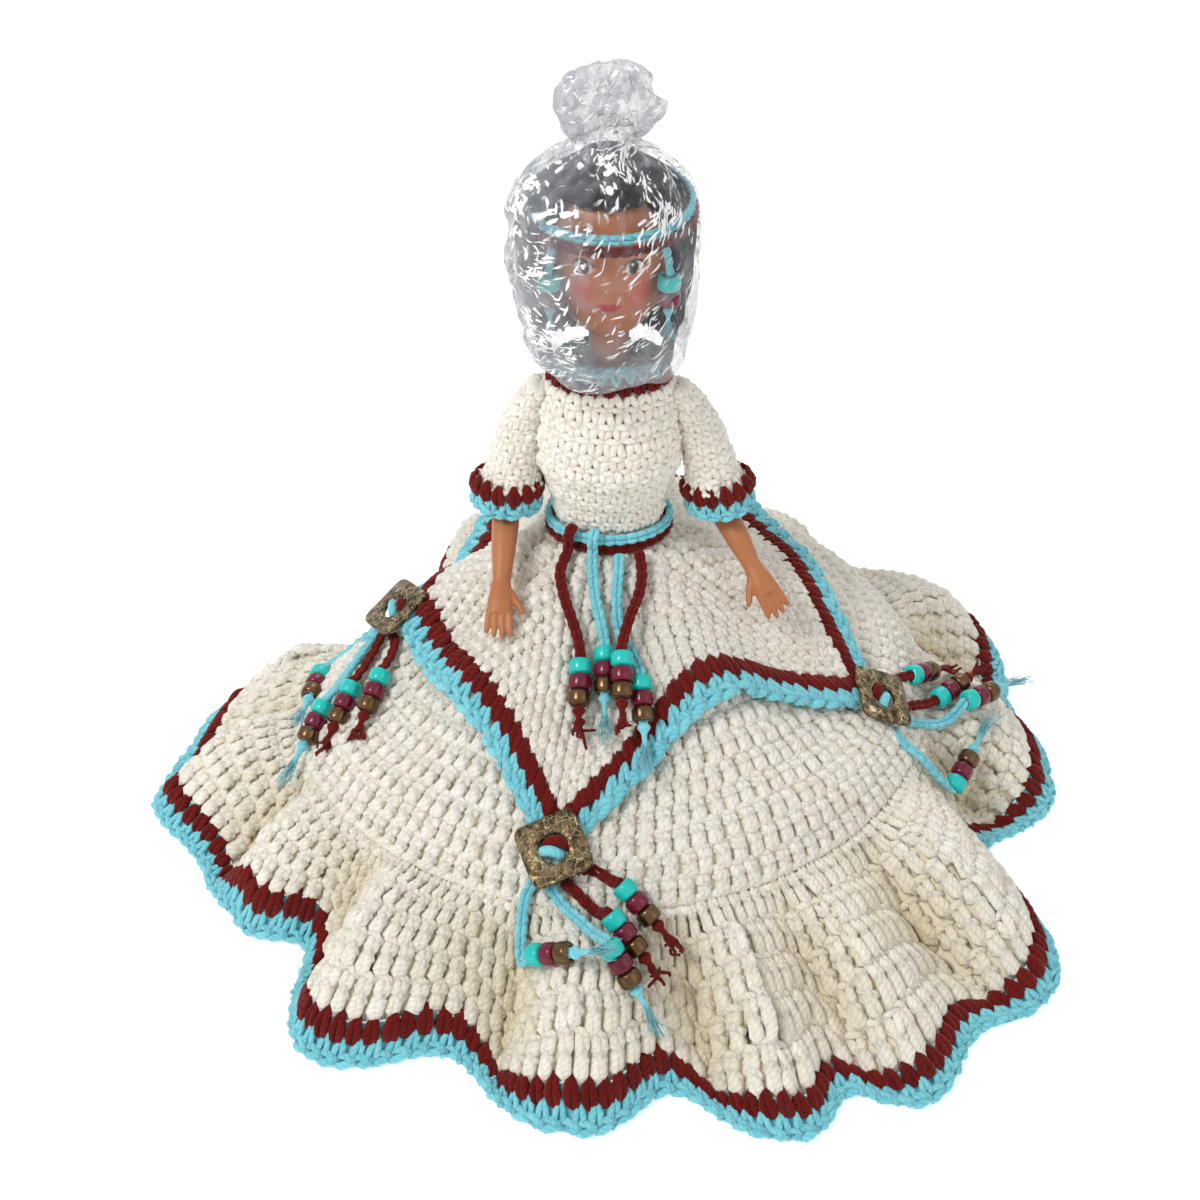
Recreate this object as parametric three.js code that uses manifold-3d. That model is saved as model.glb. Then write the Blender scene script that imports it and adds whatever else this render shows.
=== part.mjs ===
// A jointed vinyl doll, seated, in a crocheted dress with a four-cornered overskirt.
// Millimetres, +Z up, the doll faces -Y and the floor is at height 0.
// Angles round the doll are degrees from its front, growing towards +X.
import * as THREE from "three";
import { LoftGeometry } from "three/addons/geometries/LoftGeometry.js";
import { mergeVertices } from "three/addons/utils/BufferGeometryUtils.js";
import Module from "manifold-3d";

const wasm = await Module();
wasm.setup();

// Fits and cloth
const fitGap = 0.4;
const seamGap = 0.3;
const layerGap = 1.2;
const bodiceCloth = 4.2;
const sleeveCloth = 3.4;
const skirtCloth = 4.4;
const overskirtCloth = 4.2;
const trimCloth = 3.8;

// Main heights
const waistHeight = 128;
const hipDrop = 42;
const shoulderRise = 59;
const neckRise = 73;
const chinRise = 96;

// Torso outline: height above the waist, half width, half depth, centre in Y
const torsoStations = [
  [-54, 4.2, 8, 0],
  [-49, 6, 12.5, 0],
  [-30, 6, 14.5, 0],
  [-26, 16.5, 16, 0],
  [-20, 23.2, 17, 0],
  [-13, 21.6, 16, 0],
  [-4, 17.2, 13.2, 0],
  [4, 16.8, 13, 0],
  [18, 19.2, 14.6, -0.6],
  [34, 22.8, 17.2, -2],
  [47, 22.8, 15.6, -1.2],
  [58, 21.8, 12.8, 0],
  [65, 17.5, 11, 0.6],
  [69, 12.5, 9.6, 1],
  [73, 8.6, 8.6, 1.2],
];
const neckRadius = 8;
const neckKnobRadius = 9.6;
const neckKnobRise = 13;
const neckY = 1.2;

// Head outline: height above the chin, half width, half depth, centre in Y
const headStations = [
  [0, 7.5, 8, -14],
  [2, 12, 13.5, -10.5],
  [7, 17.5, 21.5, -5.5],
  [15, 22, 26.2, -2.2],
  [25, 24.9, 28.6, -0.5],
  [34, 25.5, 29.2, 0],
  [43, 24.2, 28, 0.4],
  [51, 20, 23.4, 0.6],
  [56.5, 13.2, 15.8, 0.6],
  [60, 4, 5, 0.6],
];
const noseRise = 25;
const noseReach = 3.6;
const browRise = 35;
const eyeDepth = 1.6;
const hairThickness = 3.4;
const hairDepth = 8;
const hairFall = 24;
const hairCrown = 59;
const foreheadHairline = 53;
const napeHairline = -2;
const faceHalfAngle = 66;

// Headband, its tails and the clear wrap
const headbandRise = 45;
const headbandCord = 3.6;
const headbandTailAngle = 46;
const headbandTailDrop = 31;
const headbandTailRadius = 1.6;
const headbandBeads = 2;
const filmWall = 0.6;
const filmCrinkle = 0.5;
const filmStations = [
  [-20, 28.2, 27.5, -1],
  [-13, 30.6, 31.5, -1.5],
  [-2, 33, 36.5, -2.5],
  [14, 34.8, 39.6, -1.8],
  [32, 35.8, 40.6, -0.8],
  [46, 34.6, 38.6, 0],
  [56, 27.5, 30, 0.4],
  [63, 17.5, 19, 0.6],
  [68, 8, 8.6, 0.6],
];
// Bunched top of the wrap: height above the chin, half width, half depth
const knotStations = [
  [66.5, 8.5, 8],
  [71, 12, 9.5],
  [78, 19.5, 12],
  [86, 20, 12.5],
  [93, 13, 9.5],
  [97, 4, 3.5],
];
const knotLobes = 0.17;

// Bodice outline: height above the waist, half width, half depth, centre in Y
const bodiceStations = [
  [-4, 21.9, 17.8, 0],
  [8, 22.6, 18.4, -0.3],
  [20, 25.2, 20.6, -1.2],
  [34, 28.9, 23.2, -2.3],
  [46, 28.6, 21.6, -1.6],
  [56, 28.1, 19, -0.2],
  [62, 27.2, 17.8, 0.2],
  [67, 24, 17, 0.4],
];
const collarBand = 4.4;
const collarLean = 1.6;
const armholeRadius = 7.4;

// Arms: places from the shoulder, outwards, in Y and up
const shoulderReach = 37.6;
const pegRadius = 3.6;
const pegFlangeRadius = 5.2;
const pegFlange = 1.8;
const pegDepth = 20.5;
const arms = [
  {
    name: "right",
    side: -1,
    elbow: [4, -4, -51],
    wrist: [5.2, -34, -67],
    fingertip: [6, -57, -78],
  },
  {
    name: "left",
    side: 1,
    elbow: [8, -3, -52],
    wrist: [20.5, -22, -69],
    fingertip: [32, -38, -82],
  },
];
const upperArmRadius = 5.2;
const forearmRadius = 5.6;
const wristWidth = 4.3;
const wristDepth = 3.5;
const palmWidth = 5.2;
const palmDepth = 2.7;
const fingerRadius = 1.45;
const fingerLength = 12;
const thumbLength = 9;
const sleeveTopRadius = 8.9;
const sleeveMidRadius = 9.2;
const cuffRadius = 13.8;
const cuffBand = 5.4;

// Legs
const hipReach = 19.5;
const hipY = -2;
const hipRadius = 12.8;
const hipPegRadius = 4;
const hipPegDepth = 4.6;
const legSplay = 22;
const legLength = 170;
const toeHeight = 7.4;
// Leg outline: distance from the hip, half width, half depth
const legStations = [
  [-12.6, 3.5, 3.5],
  [-9.5, 8.4, 8.4],
  [0, 12.4, 12.6],
  [22, 11.8, 12.2],
  [50, 10.6, 10.8],
  [76, 9, 9.4],
  [98, 9, 9.6],
  [122, 7, 7.4],
  [139, 5.2, 5.6],
  [150, 5.6, 5.8],
  [161, 5.8, 4.6],
  [168, 4.2, 3.2],
  [170, 2, 1.6],
];

// Skirt: a bulging upper tier, a gathered ruffle and a two-colour hem
const skirtDrop = 13;
const skirtWaistRadius = 25.2;
const seamRadius = 138;
const seamHeight = 43;
const tierBulge = 5;
const tierDomes = 6;
const domeRise = 4.5;
const hemTop = 3;
const hemSweep = 1.5;
const hemBand = 6.4;
const floorCut = 0.5;
// Crests of the gathered folds: angle, reach of the hem from the doll's axis, and how far it
// falls back before the next crest
const hemFolds = [
  [-150, 155, 8],
  [-122, 122, 8],
  [-97, 182, 2],
  [-79, 202, 6],
  [-56, 184, 24],
  [-34, 206, 24],
  [-4, 206, 23],
  [18.5, 219, 14],
  [31.5, 225, 11],
  [50.5, 223, 37],
  [83, 196, 10],
  [113, 199, 5],
  [143, 166, 8],
  [178, 207, 20],
];
const foldPinch = 1.4;
const fullFold = 26;
const foldRise = 13;
const foldLift = 0.4;
// The seam is drawn in on one side, at the back
const tuckAngle = -118;
const tuckSpan = 50;
const tuckShare = 0.325;
const stepsPerFold = 5;

// Overskirt: its four corners, how far each side bows in and lifts, and its cords' clearance
const overskirtWaistRadius = 22.4;
const overskirtBand = 6.4;
const overskirtCorners = [
  { name: "front", angle: -9.5, reach: 127.5, bow: 9, lift: 3, clear: [0.7, 1.4, 1.3, 0.55] },
  { name: "left", angle: 70, reach: 122, bow: -16, lift: 10, clear: [1.3, 0.85, 0.85, 0.85] },
  { name: "back", angle: 178, reach: 118, bow: -12, lift: 14, clear: [0.6, 1.9, 1.3, 0.7] },
  { name: "right", angle: -84, reach: 92, bow: -6, lift: 5, clear: [0.63, 0.63, 0.4, 0.4] },
];
const stepsPerSide = 12;

// Corner plates, with the cords and beads that hang below them
const plateSide = 25;
const plateWall = 2;
const plateCorner = 3.2;
const plateHole = 5.7;
const plateTurn = 30;
const plateInset = 2.5;
const strandRadius = 2;
const beadRadius = 4.4;
const beadGroove = 3.3;
const beadLength = 6.3;
const beadsPerCord = 3;
const yarnKnotRadius = 2.7;
const yarnKnotLength = 4;
const yarnEndRadius = 1.5;
const yarnEndLength = 6;
// Route of each strand, sideways and outwards from its plate's centre
const strandRoutes = [
  {
    name: "blue_1",
    colour: "blue",
    route: [[-6, 5.5], [-8.6, 11], [-9, 18], [-7.5, 25.5], [-3, 31.5]],
    heading: 14,
  },
  {
    name: "blue_2",
    colour: "blue",
    route: [[-0.8, 6.2], [5, 11.5], [12.5, 18.5], [19.5, 24], [25, 28.5]],
    heading: 34,
  },
  {
    name: "red_1",
    colour: "red",
    route: [[4.4, 4.6], [9.5, 7.2], [15, 10.6], [19.5, 13.6], [23.5, 16.4]],
    heading: 30,
  },
  {
    name: "red_2",
    colour: "red",
    route: [[8.8, 1], [13.5, -0.4], [18, 0.4], [22, 2], [25.5, 4]],
    heading: 28,
  },
];

// Belt of two cords, whose tails hang in front
const beltCord = 2;
const beltTailRadius = 2.1;
const beadStart = 1.5;
// Route of each tail: over or under the belt, then sideways, in Y and lift over the overskirt
const beltTails = [
  {
    name: "red_1",
    colour: "red",
    overBelt: true,
    route: [[-19.4, -29, 0], [-19, -35, 0], [-17.4, -42, 0], [-14.4, -50, 0], [-12, -57, 0], [-11, -63, 0]],
    heading: -2,
  },
  {
    name: "blue_1",
    colour: "blue",
    overBelt: true,
    route: [[-6.6, -29, 0], [-6, -36, 0], [-4.8, -43, 0], [-3, -50.5, 0], [-1.6, -58, 0]],
    heading: 0,
  },
  {
    name: "blue_2",
    colour: "blue",
    overBelt: false,
    route: [[4, -28.5, 0], [3.4, -36, 0], [3.2, -45, 0], [4.6, -53, 0], [8.6, -61, 0], [12, -69, 0]],
    heading: 4,
  },
  {
    name: "red_2",
    colour: "red",
    overBelt: false,
    route: [[13, -28.5, 0], [13, -35, 0.5], [11.4, -43, 2.5], [8.6, -51, 5.5], [6.2, -59, 7], [5, -65, 7.6]],
    heading: 0,
  },
];

// Finishes
const creamYarn = { color: 0xefe9da, roughness: 0.95, metalness: 0 };
const redYarn = { color: 0x6e1919, roughness: 0.95, metalness: 0 };
const blueYarn = { color: 0x7ccfe2, roughness: 0.95, metalness: 0 };
const tanVinyl = { color: 0xb9774b, roughness: 0.5, metalness: 0 };
const blackHair = { color: 0x16110f, roughness: 0.6, metalness: 0 };
const clearFilm = { color: 0xdfe5e8, roughness: 0.15, metalness: 0, transparent: true, opacity: 0.35 };
const bronzePlate = { color: 0x6b5836, roughness: 0.4, metalness: 0.9 };
const beadFinish = { color: 0x16cbbf, roughness: 0.2, metalness: 0 };
const yarns = { red: redYarn, blue: blueYarn };

// Places worked out from the sizes above
const degree = Math.PI / 180;
const skirtTop = waistHeight - skirtDrop;
const clothTilt = Math.atan2(skirtTop - seamHeight, seamRadius - skirtWaistRadius);
const overskirtRise = (overskirtCloth + layerGap) / Math.cos(clothTilt);
const hipHeight = waistHeight - hipDrop;
const shoulderHeight = waistHeight + shoulderRise;
const chinHeight = waistHeight + chinRise;
const legDip = Math.asin((hipHeight - toeHeight) / legLength);
const circle = 2 * Math.PI;
const fullTurn = 360;
const acrossDoll = new THREE.Vector3(1, 0, 0);

const doll = new THREE.Group();

// Adds one named piece with its own material.
function addPiece(name, geometry, finish, parent = doll) {
  const mesh = new THREE.Mesh(geometry, new THREE.MeshStandardMaterial(finish));
  mesh.name = name;
  parent.add(mesh);
}

// Keeps positions only, merges shared corners, drops flat triangles and turns all faces outwards.
function sealed(geometry) {
  const bare = new THREE.BufferGeometry();
  bare.setAttribute("position", geometry.getAttribute("position"));
  bare.setIndex(geometry.getIndex());
  const merged = mergeVertices(bare, 1e-3);
  const corners = merged.getIndex().array;
  const at = (i) => new THREE.Vector3().fromBufferAttribute(merged.getAttribute("position"), i);
  const triangles = [];
  let volume = 0;
  for (let i = 0; i < corners.length; i += 3) {
    const [a, b, c] = corners.slice(i, i + 3);
    if (a !== b && b !== c && c !== a) {
      triangles.push([a, b, c]);
      volume += at(a).dot(at(b).cross(at(c)));
    }
  }
  const order = volume < 0 ? triangles.map(([a, b, c]) => [a, c, b]) : triangles;
  merged.setIndex(order.flat());
  return merged;
}

function toSolid(geometry) {
  const closed = sealed(geometry);
  const vertProperties = new Float32Array(closed.getAttribute("position").array);
  const triVerts = new Uint32Array(closed.getIndex().array);
  return new wasm.Manifold(new wasm.Mesh({ numProp: 3, vertProperties, triVerts }));
}

function toGeometry(solid) {
  const mesh = solid.getMesh();
  const geometry = new THREE.BufferGeometry();
  geometry.setAttribute("position", new THREE.BufferAttribute(mesh.vertProperties, 3));
  geometry.setIndex(new THREE.BufferAttribute(mesh.triVerts, 1));
  return geometry;
}

function joined(...geometries) {
  return toGeometry(geometries.map(toSolid).reduce((whole, next) => whole.add(next)));
}

function cutBy(geometry, ...tools) {
  return toGeometry(tools.map(toSolid).reduce((rest, tool) => rest.subtract(tool), toSolid(geometry)));
}

// A body through closed sections, each end drawn together at the middle of its last section.
function bodyThrough(sections) {
  const drawnIn = (section) => {
    const middle = section.reduce((sum, point) => sum.add(point), new THREE.Vector3());
    middle.divideScalar(section.length);
    return section.map(() => middle);
  };
  return sealed(new LoftGeometry([drawnIn(sections[0]), ...sections, drawnIn(sections.at(-1))]));
}

// A ring through closed sections, the last joined to the first.
function ringThrough(sections) {
  return sealed(new LoftGeometry([...sections, sections[0]]));
}

// Lays a shape made along Y between two points.
function laidBetween(shape, start, end) {
  const along = new THREE.Vector3().subVectors(end, start).normalize();
  const turn = new THREE.Quaternion().setFromUnitVectors(new THREE.Vector3(0, 1, 0), along);
  const middle = new THREE.Vector3().addVectors(start, end).multiplyScalar(0.5);
  return shape.applyMatrix4(new THREE.Matrix4().compose(middle, turn, new THREE.Vector3(1, 1, 1)));
}

function rod(start, end, radius, sides = 12) {
  return laidBetween(new THREE.CylinderGeometry(radius, radius, start.distanceTo(end), sides), start, end);
}

// A finger-like bar with round ends.
function capsule(start, end, radius) {
  return laidBetween(new THREE.CapsuleGeometry(radius, start.distanceTo(end), 1, 6), start, end);
}

function evenAngles(count) {
  return Array.from({ length: count }, (_, i) => (fullTurn * i) / count);
}

function polar(angle, radius, height) {
  return new THREE.Vector3(radius * Math.sin(angle * degree), -radius * Math.cos(angle * degree), height);
}

// The same direction, as a turn of at least the first angle and less than a whole turn more.
function turnFrom(first, angle) {
  return first + THREE.MathUtils.euclideanModulo(angle - first, fullTurn);
}

// Smooth value between the rows of an outline table, whose first column is the height.
function outlineAt(stations, height) {
  const last = stations.length - 1;
  let row = 0;
  while (row < last - 1 && height > stations[row + 1][0]) row += 1;
  const [before, from, to, after] = [row - 1, row, row + 1, row + 2].map(
    (i) => stations[Math.min(Math.max(i, 0), last)],
  );
  const share = Math.min(Math.max((height - from[0]) / (to[0] - from[0]), 0), 1);
  return from.slice(1).map((value, column) => {
    const slope = (a, b) => (b[0] === a[0] ? 0 : (b[column + 1] - a[column + 1]) / (b[0] - a[0]));
    const step = to[0] - from[0];
    const startSlope = slope(before, to) * step;
    const endSlope = slope(from, after) * step;
    const square = share * share;
    const cube = square * share;
    return (
      (2 * cube - 3 * square + 1) * value +
      (cube - 2 * square + share) * startSlope +
      (3 * square - 2 * cube) * to[column + 1] +
      (cube - square) * endSlope
    );
  });
}

// A point on an oval outline grown outwards by extra.
function ovalPoint(stations, base, angle, height, extra) {
  const [halfWidth, halfDepth, centreY] = outlineAt(stations, height);
  const across = (halfWidth + extra) * Math.sin(angle * degree);
  const along = centreY - (halfDepth + extra) * Math.cos(angle * degree);
  return new THREE.Vector3(across, along, base + height);
}

// A band of cloth round the doll: face gives its outer side, and depth goes into the cloth.
function clothBand(angles, rows, cloth, face) {
  const shares = Array.from({ length: rows + 1 }, (_, row) => row / rows);
  return ringThrough(
    angles.map((angle) => [
      ...shares.map((share) => face(angle, share, 0)),
      ...shares.toReversed().map((share) => face(angle, share, cloth)),
    ]),
  );
}

// An oval tube wound round the doll as one closed ring.
function cordRing(angles, sides, radius, centreAt) {
  return ringThrough(
    angles.map((angle) => {
      const centre = centreAt(angle);
      const outwards = polar(angle, 1, 0);
      return Array.from({ length: sides }, (_, i) =>
        centre
          .clone()
          .addScaledVector(outwards, radius * Math.cos((circle * i) / sides))
          .setZ(centre.z + radius * Math.sin((circle * i) / sides)),
      );
    }),
  );
}

// A body swept along a route, its half width and half depth given at each stop.
function sweptBody(points, sizes, sides, sideways) {
  return bodyThrough(
    points.map((point, i) => {
      const ahead = points[Math.min(i + 1, points.length - 1)];
      const behind = points[Math.max(i - 1, 0)];
      const along = new THREE.Vector3().subVectors(ahead, behind).normalize();
      const across = sideways.clone().addScaledVector(along, -sideways.dot(along)).normalize();
      const upright = new THREE.Vector3().crossVectors(along, across);
      const [halfWidth, halfDepth] = sizes[i];
      return Array.from({ length: sides }, (_, k) =>
        point
          .clone()
          .addScaledVector(across, halfWidth * Math.cos((circle * k) / sides))
          .addScaledVector(upright, halfDepth * Math.sin((circle * k) / sides)),
      );
    }),
  );
}

// Torso with a neck knob, and sockets for the arms and legs
function hipPlace(side) {
  return new THREE.Vector3(side * hipReach, hipY, hipHeight);
}

function hipAxis(side) {
  return new THREE.Vector3(side * Math.cos(legSplay * degree), Math.sin(legSplay * degree), 0);
}

function makeTorso() {
  const heights = torsoStations.map((row) => row[0]);
  const trunk = bodyThrough(
    heights.map((height) =>
      evenAngles(14).map((angle) => ovalPoint(torsoStations, waistHeight, angle, height, 0)),
    ),
  );
  const neckBase = waistHeight + neckRise;
  const knobHeight = chinRise - neckRise + neckKnobRise;
  const neckProfile = [
    [0, -4],
    [neckRadius, -4],
    [neckRadius, knobHeight - 0.4 * neckKnobRadius],
    [neckKnobRadius, knobHeight - 0.2 * neckKnobRadius],
    [neckKnobRadius, knobHeight + 0.3 * neckKnobRadius],
    [0.7 * neckKnobRadius, knobHeight + 0.7 * neckKnobRadius],
    [0, knobHeight + 0.8 * neckKnobRadius],
  ].map(([radius, height]) => new THREE.Vector2(radius, height));
  const neck = new THREE.LatheGeometry(neckProfile, 14);
  neck.rotateX(Math.PI / 2);
  neck.translate(0, neckY, neckBase);
  const sockets = [-1, 1].flatMap((side) => {
    const inner = new THREE.Vector3(side * (shoulderReach - pegDepth - fitGap), 0, shoulderHeight);
    const shelf = inner.clone().setX(inner.x + side * (pegFlange + 2 * fitGap));
    const outer = inner.clone().setX(side * shoulderReach);
    const hip = hipPlace(side);
    const hipInner = hip.clone().addScaledVector(hipAxis(side), -(hipRadius + hipPegDepth + fitGap));
    return [
      rod(inner, shelf, pegFlangeRadius + fitGap),
      rod(inner, outer, pegRadius + fitGap),
      rod(hipInner, hip, hipPegRadius + fitGap),
    ];
  });
  addPiece("torso", cutBy(joined(trunk, neck), ...sockets), tanVinyl);
}

// Head with a rounded face, hollow at the neck
function faceRelief(angle, height) {
  const near = (centre, spread) => Math.exp(-(((height - centre) / spread) ** 2));
  const front = (centre, spread) => Math.exp(-(((angle - centre) / spread) ** 2));
  const nose = noseReach * near(noseRise, 5) * front(0, 8);
  const eyes = eyeDepth * near(browRise - 1, 4.5) * (front(-23, 11) + front(23, 11));
  const lips = 1.2 * near(noseRise - 9, 2.6) * front(0, 13);
  return nose + lips - eyes;
}

function skullBody(extra) {
  const frontAngles = Array.from({ length: 15 }, (_, i) => -70 + 10 * i);
  const backAngles = Array.from({ length: 9 }, (_, i) => 92 + 22 * i);
  const angles = [...frontAngles, ...backAngles];
  const heights = [0, 2, 7, 12, 16, 20, 25, 30, 34, 39, 44, 51, 56.5, 60];
  const loop = (height, rise) =>
    angles.map((angle) =>
      ovalPoint(headStations, chinHeight + rise, angle, height, faceRelief(angle, height) + extra),
    );
  return bodyThrough([loop(0, -extra), ...heights.map((height) => loop(height, 0)), loop(60, extra)]);
}

function makeHead() {
  const skull = skullBody(0);
  const below = new THREE.Vector3(0, neckY, chinHeight - 8);
  const knob = new THREE.Vector3(0, neckY, chinHeight + neckKnobRise);
  const pocketFloor = knob.clone().setZ(knob.z - 0.6 * neckKnobRadius + 2 * fitGap);
  const pocketRoof = knob.clone().setZ(knob.z + neckKnobRadius);
  const pocket = rod(pocketFloor, pocketRoof, neckKnobRadius + 2 * fitGap);
  addPiece("head", cutBy(skull, rod(below, knob, neckRadius + 2 * fitGap), pocket), tanVinyl);
}

// Hair cap, open over the face
function hairEdge(angle) {
  const turned = Math.abs(turnFrom(-fullTurn / 2, angle));
  const share = Math.min(Math.max((turned - faceHalfAngle + 16) / 24, 0), 1);
  const ease = share * share * (3 - 2 * share);
  return foreheadHairline + (napeHairline - foreheadHairline) * ease;
}

// Follows the skull, and falls straight below its widest part.
function hairPoint(angle, height, extra) {
  const outlineHeight = Math.max(height, hairFall);
  return ovalPoint(headStations, chinHeight, angle, outlineHeight, fitGap + extra).setZ(chinHeight + height);
}

function makeHair() {
  const rows = 5;
  const shares = Array.from({ length: rows + 1 }, (_, i) => (i / rows) ** 0.8);
  const loop = (share, extra, rise) =>
    evenAngles(18).map((angle) => {
      const height = hairCrown + (hairEdge(angle) - hairCrown) * share;
      const point = hairPoint(angle, height, extra);
      return point.setZ(point.z + rise * (1 - share));
    });
  const core = shares.map((share) => loop(share, -hairDepth, -hairDepth));
  const outside = shares.toReversed().map((share) => loop(share, hairThickness, hairThickness));
  addPiece("hair", cutBy(bodyThrough([...core, ...outside]), skullBody(fitGap)), blackHair);
}

// Headband of two cords with a beaded tail at each temple
function makeHeadband() {
  const ring = (name, height, finish) =>
    addPiece(
      name,
      cordRing(evenAngles(18), 5, headbandCord / 2, (angle) =>
        hairPoint(angle, height, hairThickness + 3 * fitGap + headbandCord / 2),
      ),
      finish,
    );
  ring("headband_blue", headbandRise, blueYarn);
  ring("headband_red", headbandRise - headbandCord - fitGap, redYarn);
  for (const side of [-1, 1]) {
    const angle = side * headbandTailAngle;
    const top = headbandRise - 1.5 * headbandCord - 2 * fitGap - strandRadius;
    const drop = headbandTailDrop;
    const stops = [0, 0.16, 0.32];
    const start = stops.map((share) => hairPoint(angle, top - share * drop, 2.2 + 7.4 * share));
    const down = new THREE.Vector3(0, 0, -1);
    addPiece(
      side < 0 ? "headband_tail_right" : "headband_tail_left",
      beadedCord(start, down, headbandBeads, headbandTailRadius, acrossDoll),
      beadFinish,
    );
  }
}

// A cord whose last stretch is straight and carries beads, a knot and a loose end
function beadedCord(points, heading, beads, radius, sideways) {
  const route = [...points];
  const sizes = points.map(() => radius);
  const end = points.at(-1);
  const place = (distance, size) => {
    route.push(end.clone().addScaledVector(heading, distance));
    sizes.push(size);
  };
  let reach = 0.2;
  place(reach, beadGroove);
  for (let bead = 0; bead < beads; bead += 1) {
    place(reach + 0.2 * beadLength, beadRadius);
    place(reach + 0.8 * beadLength, beadRadius);
    reach += beadLength;
    place(reach, beadGroove);
  }
  place(reach + 0.3, radius);
  place(reach + 0.5 * yarnKnotLength, yarnKnotRadius);
  place(reach + yarnKnotLength, yarnEndRadius);
  place(reach + yarnKnotLength + yarnEndLength, yarnEndRadius);
  return sweptBody(route, sizes.map((size) => [size, size]), 5, sideways);
}

// Clear wrap over the head, bunched into a knot on top
function makeFilm() {
  const crinkle = (angle, height) =>
    filmCrinkle * Math.sin((5 * angle + 9 * height) * degree) +
    0.8 * filmCrinkle * Math.sin((11 * angle - 14 * height) * degree);
  const heights = filmStations.map((row) => row[0]);
  const loop = (height, extra) =>
    evenAngles(18).map((angle) =>
      ovalPoint(filmStations, chinHeight, angle, height, extra + crinkle(angle, height)),
    );
  const lining = heights.toReversed().map((height) => loop(height - filmWall, -filmWall));
  const outside = heights.map((height) => loop(height, 0));
  const dome = bodyThrough([...lining, ...outside]);
  const knot = bodyThrough(
    knotStations.map(([height, halfWidth, halfDepth]) =>
      evenAngles(12).map((angle) => {
        const lobe = 1 + knotLobes * Math.cos((3 * angle + 11 * height) * degree);
        return new THREE.Vector3(
          halfWidth * lobe * Math.sin(angle * degree),
          -halfDepth * lobe * Math.cos(angle * degree),
          chinHeight + height,
        );
      }),
    ),
  );
  addPiece("film_wrap", joined(dome, knot), clearFilm);
}

// Bodice with armholes, and a collar of two bands
function makeBodice() {
  const bottom = bodiceStations[0][0];
  const top = bodiceStations.at(-1)[0];
  const face = (angle, share, depth) =>
    ovalPoint(bodiceStations, waistHeight, angle, bottom + (top - bottom) * share, -depth);
  const armhole = rod(
    new THREE.Vector3(-shoulderReach, 0, shoulderHeight),
    new THREE.Vector3(shoulderReach, 0, shoulderHeight),
    armholeRadius,
  );
  addPiece("bodice", cutBy(clothBand(evenAngles(24), 5, bodiceCloth, face), armhole), creamYarn);
  const collar = (name, order, finish) => {
    const from = top + order * (collarBand + seamGap) + seamGap;
    const leanAt = (height) => (-collarLean * (height - top)) / collarBand;
    addPiece(
      name,
      clothBand(evenAngles(20), 1, trimCloth, (angle, share, depth) => {
        const height = from + collarBand * share;
        const spot = ovalPoint(bodiceStations, waistHeight, angle, top, leanAt(height) - depth);
        return spot.setZ(waistHeight + height);
      }),
      finish,
    );
  };
  collar("collar_red", 0, redYarn);
  collar("collar_blue", 1, blueYarn);
}

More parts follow.
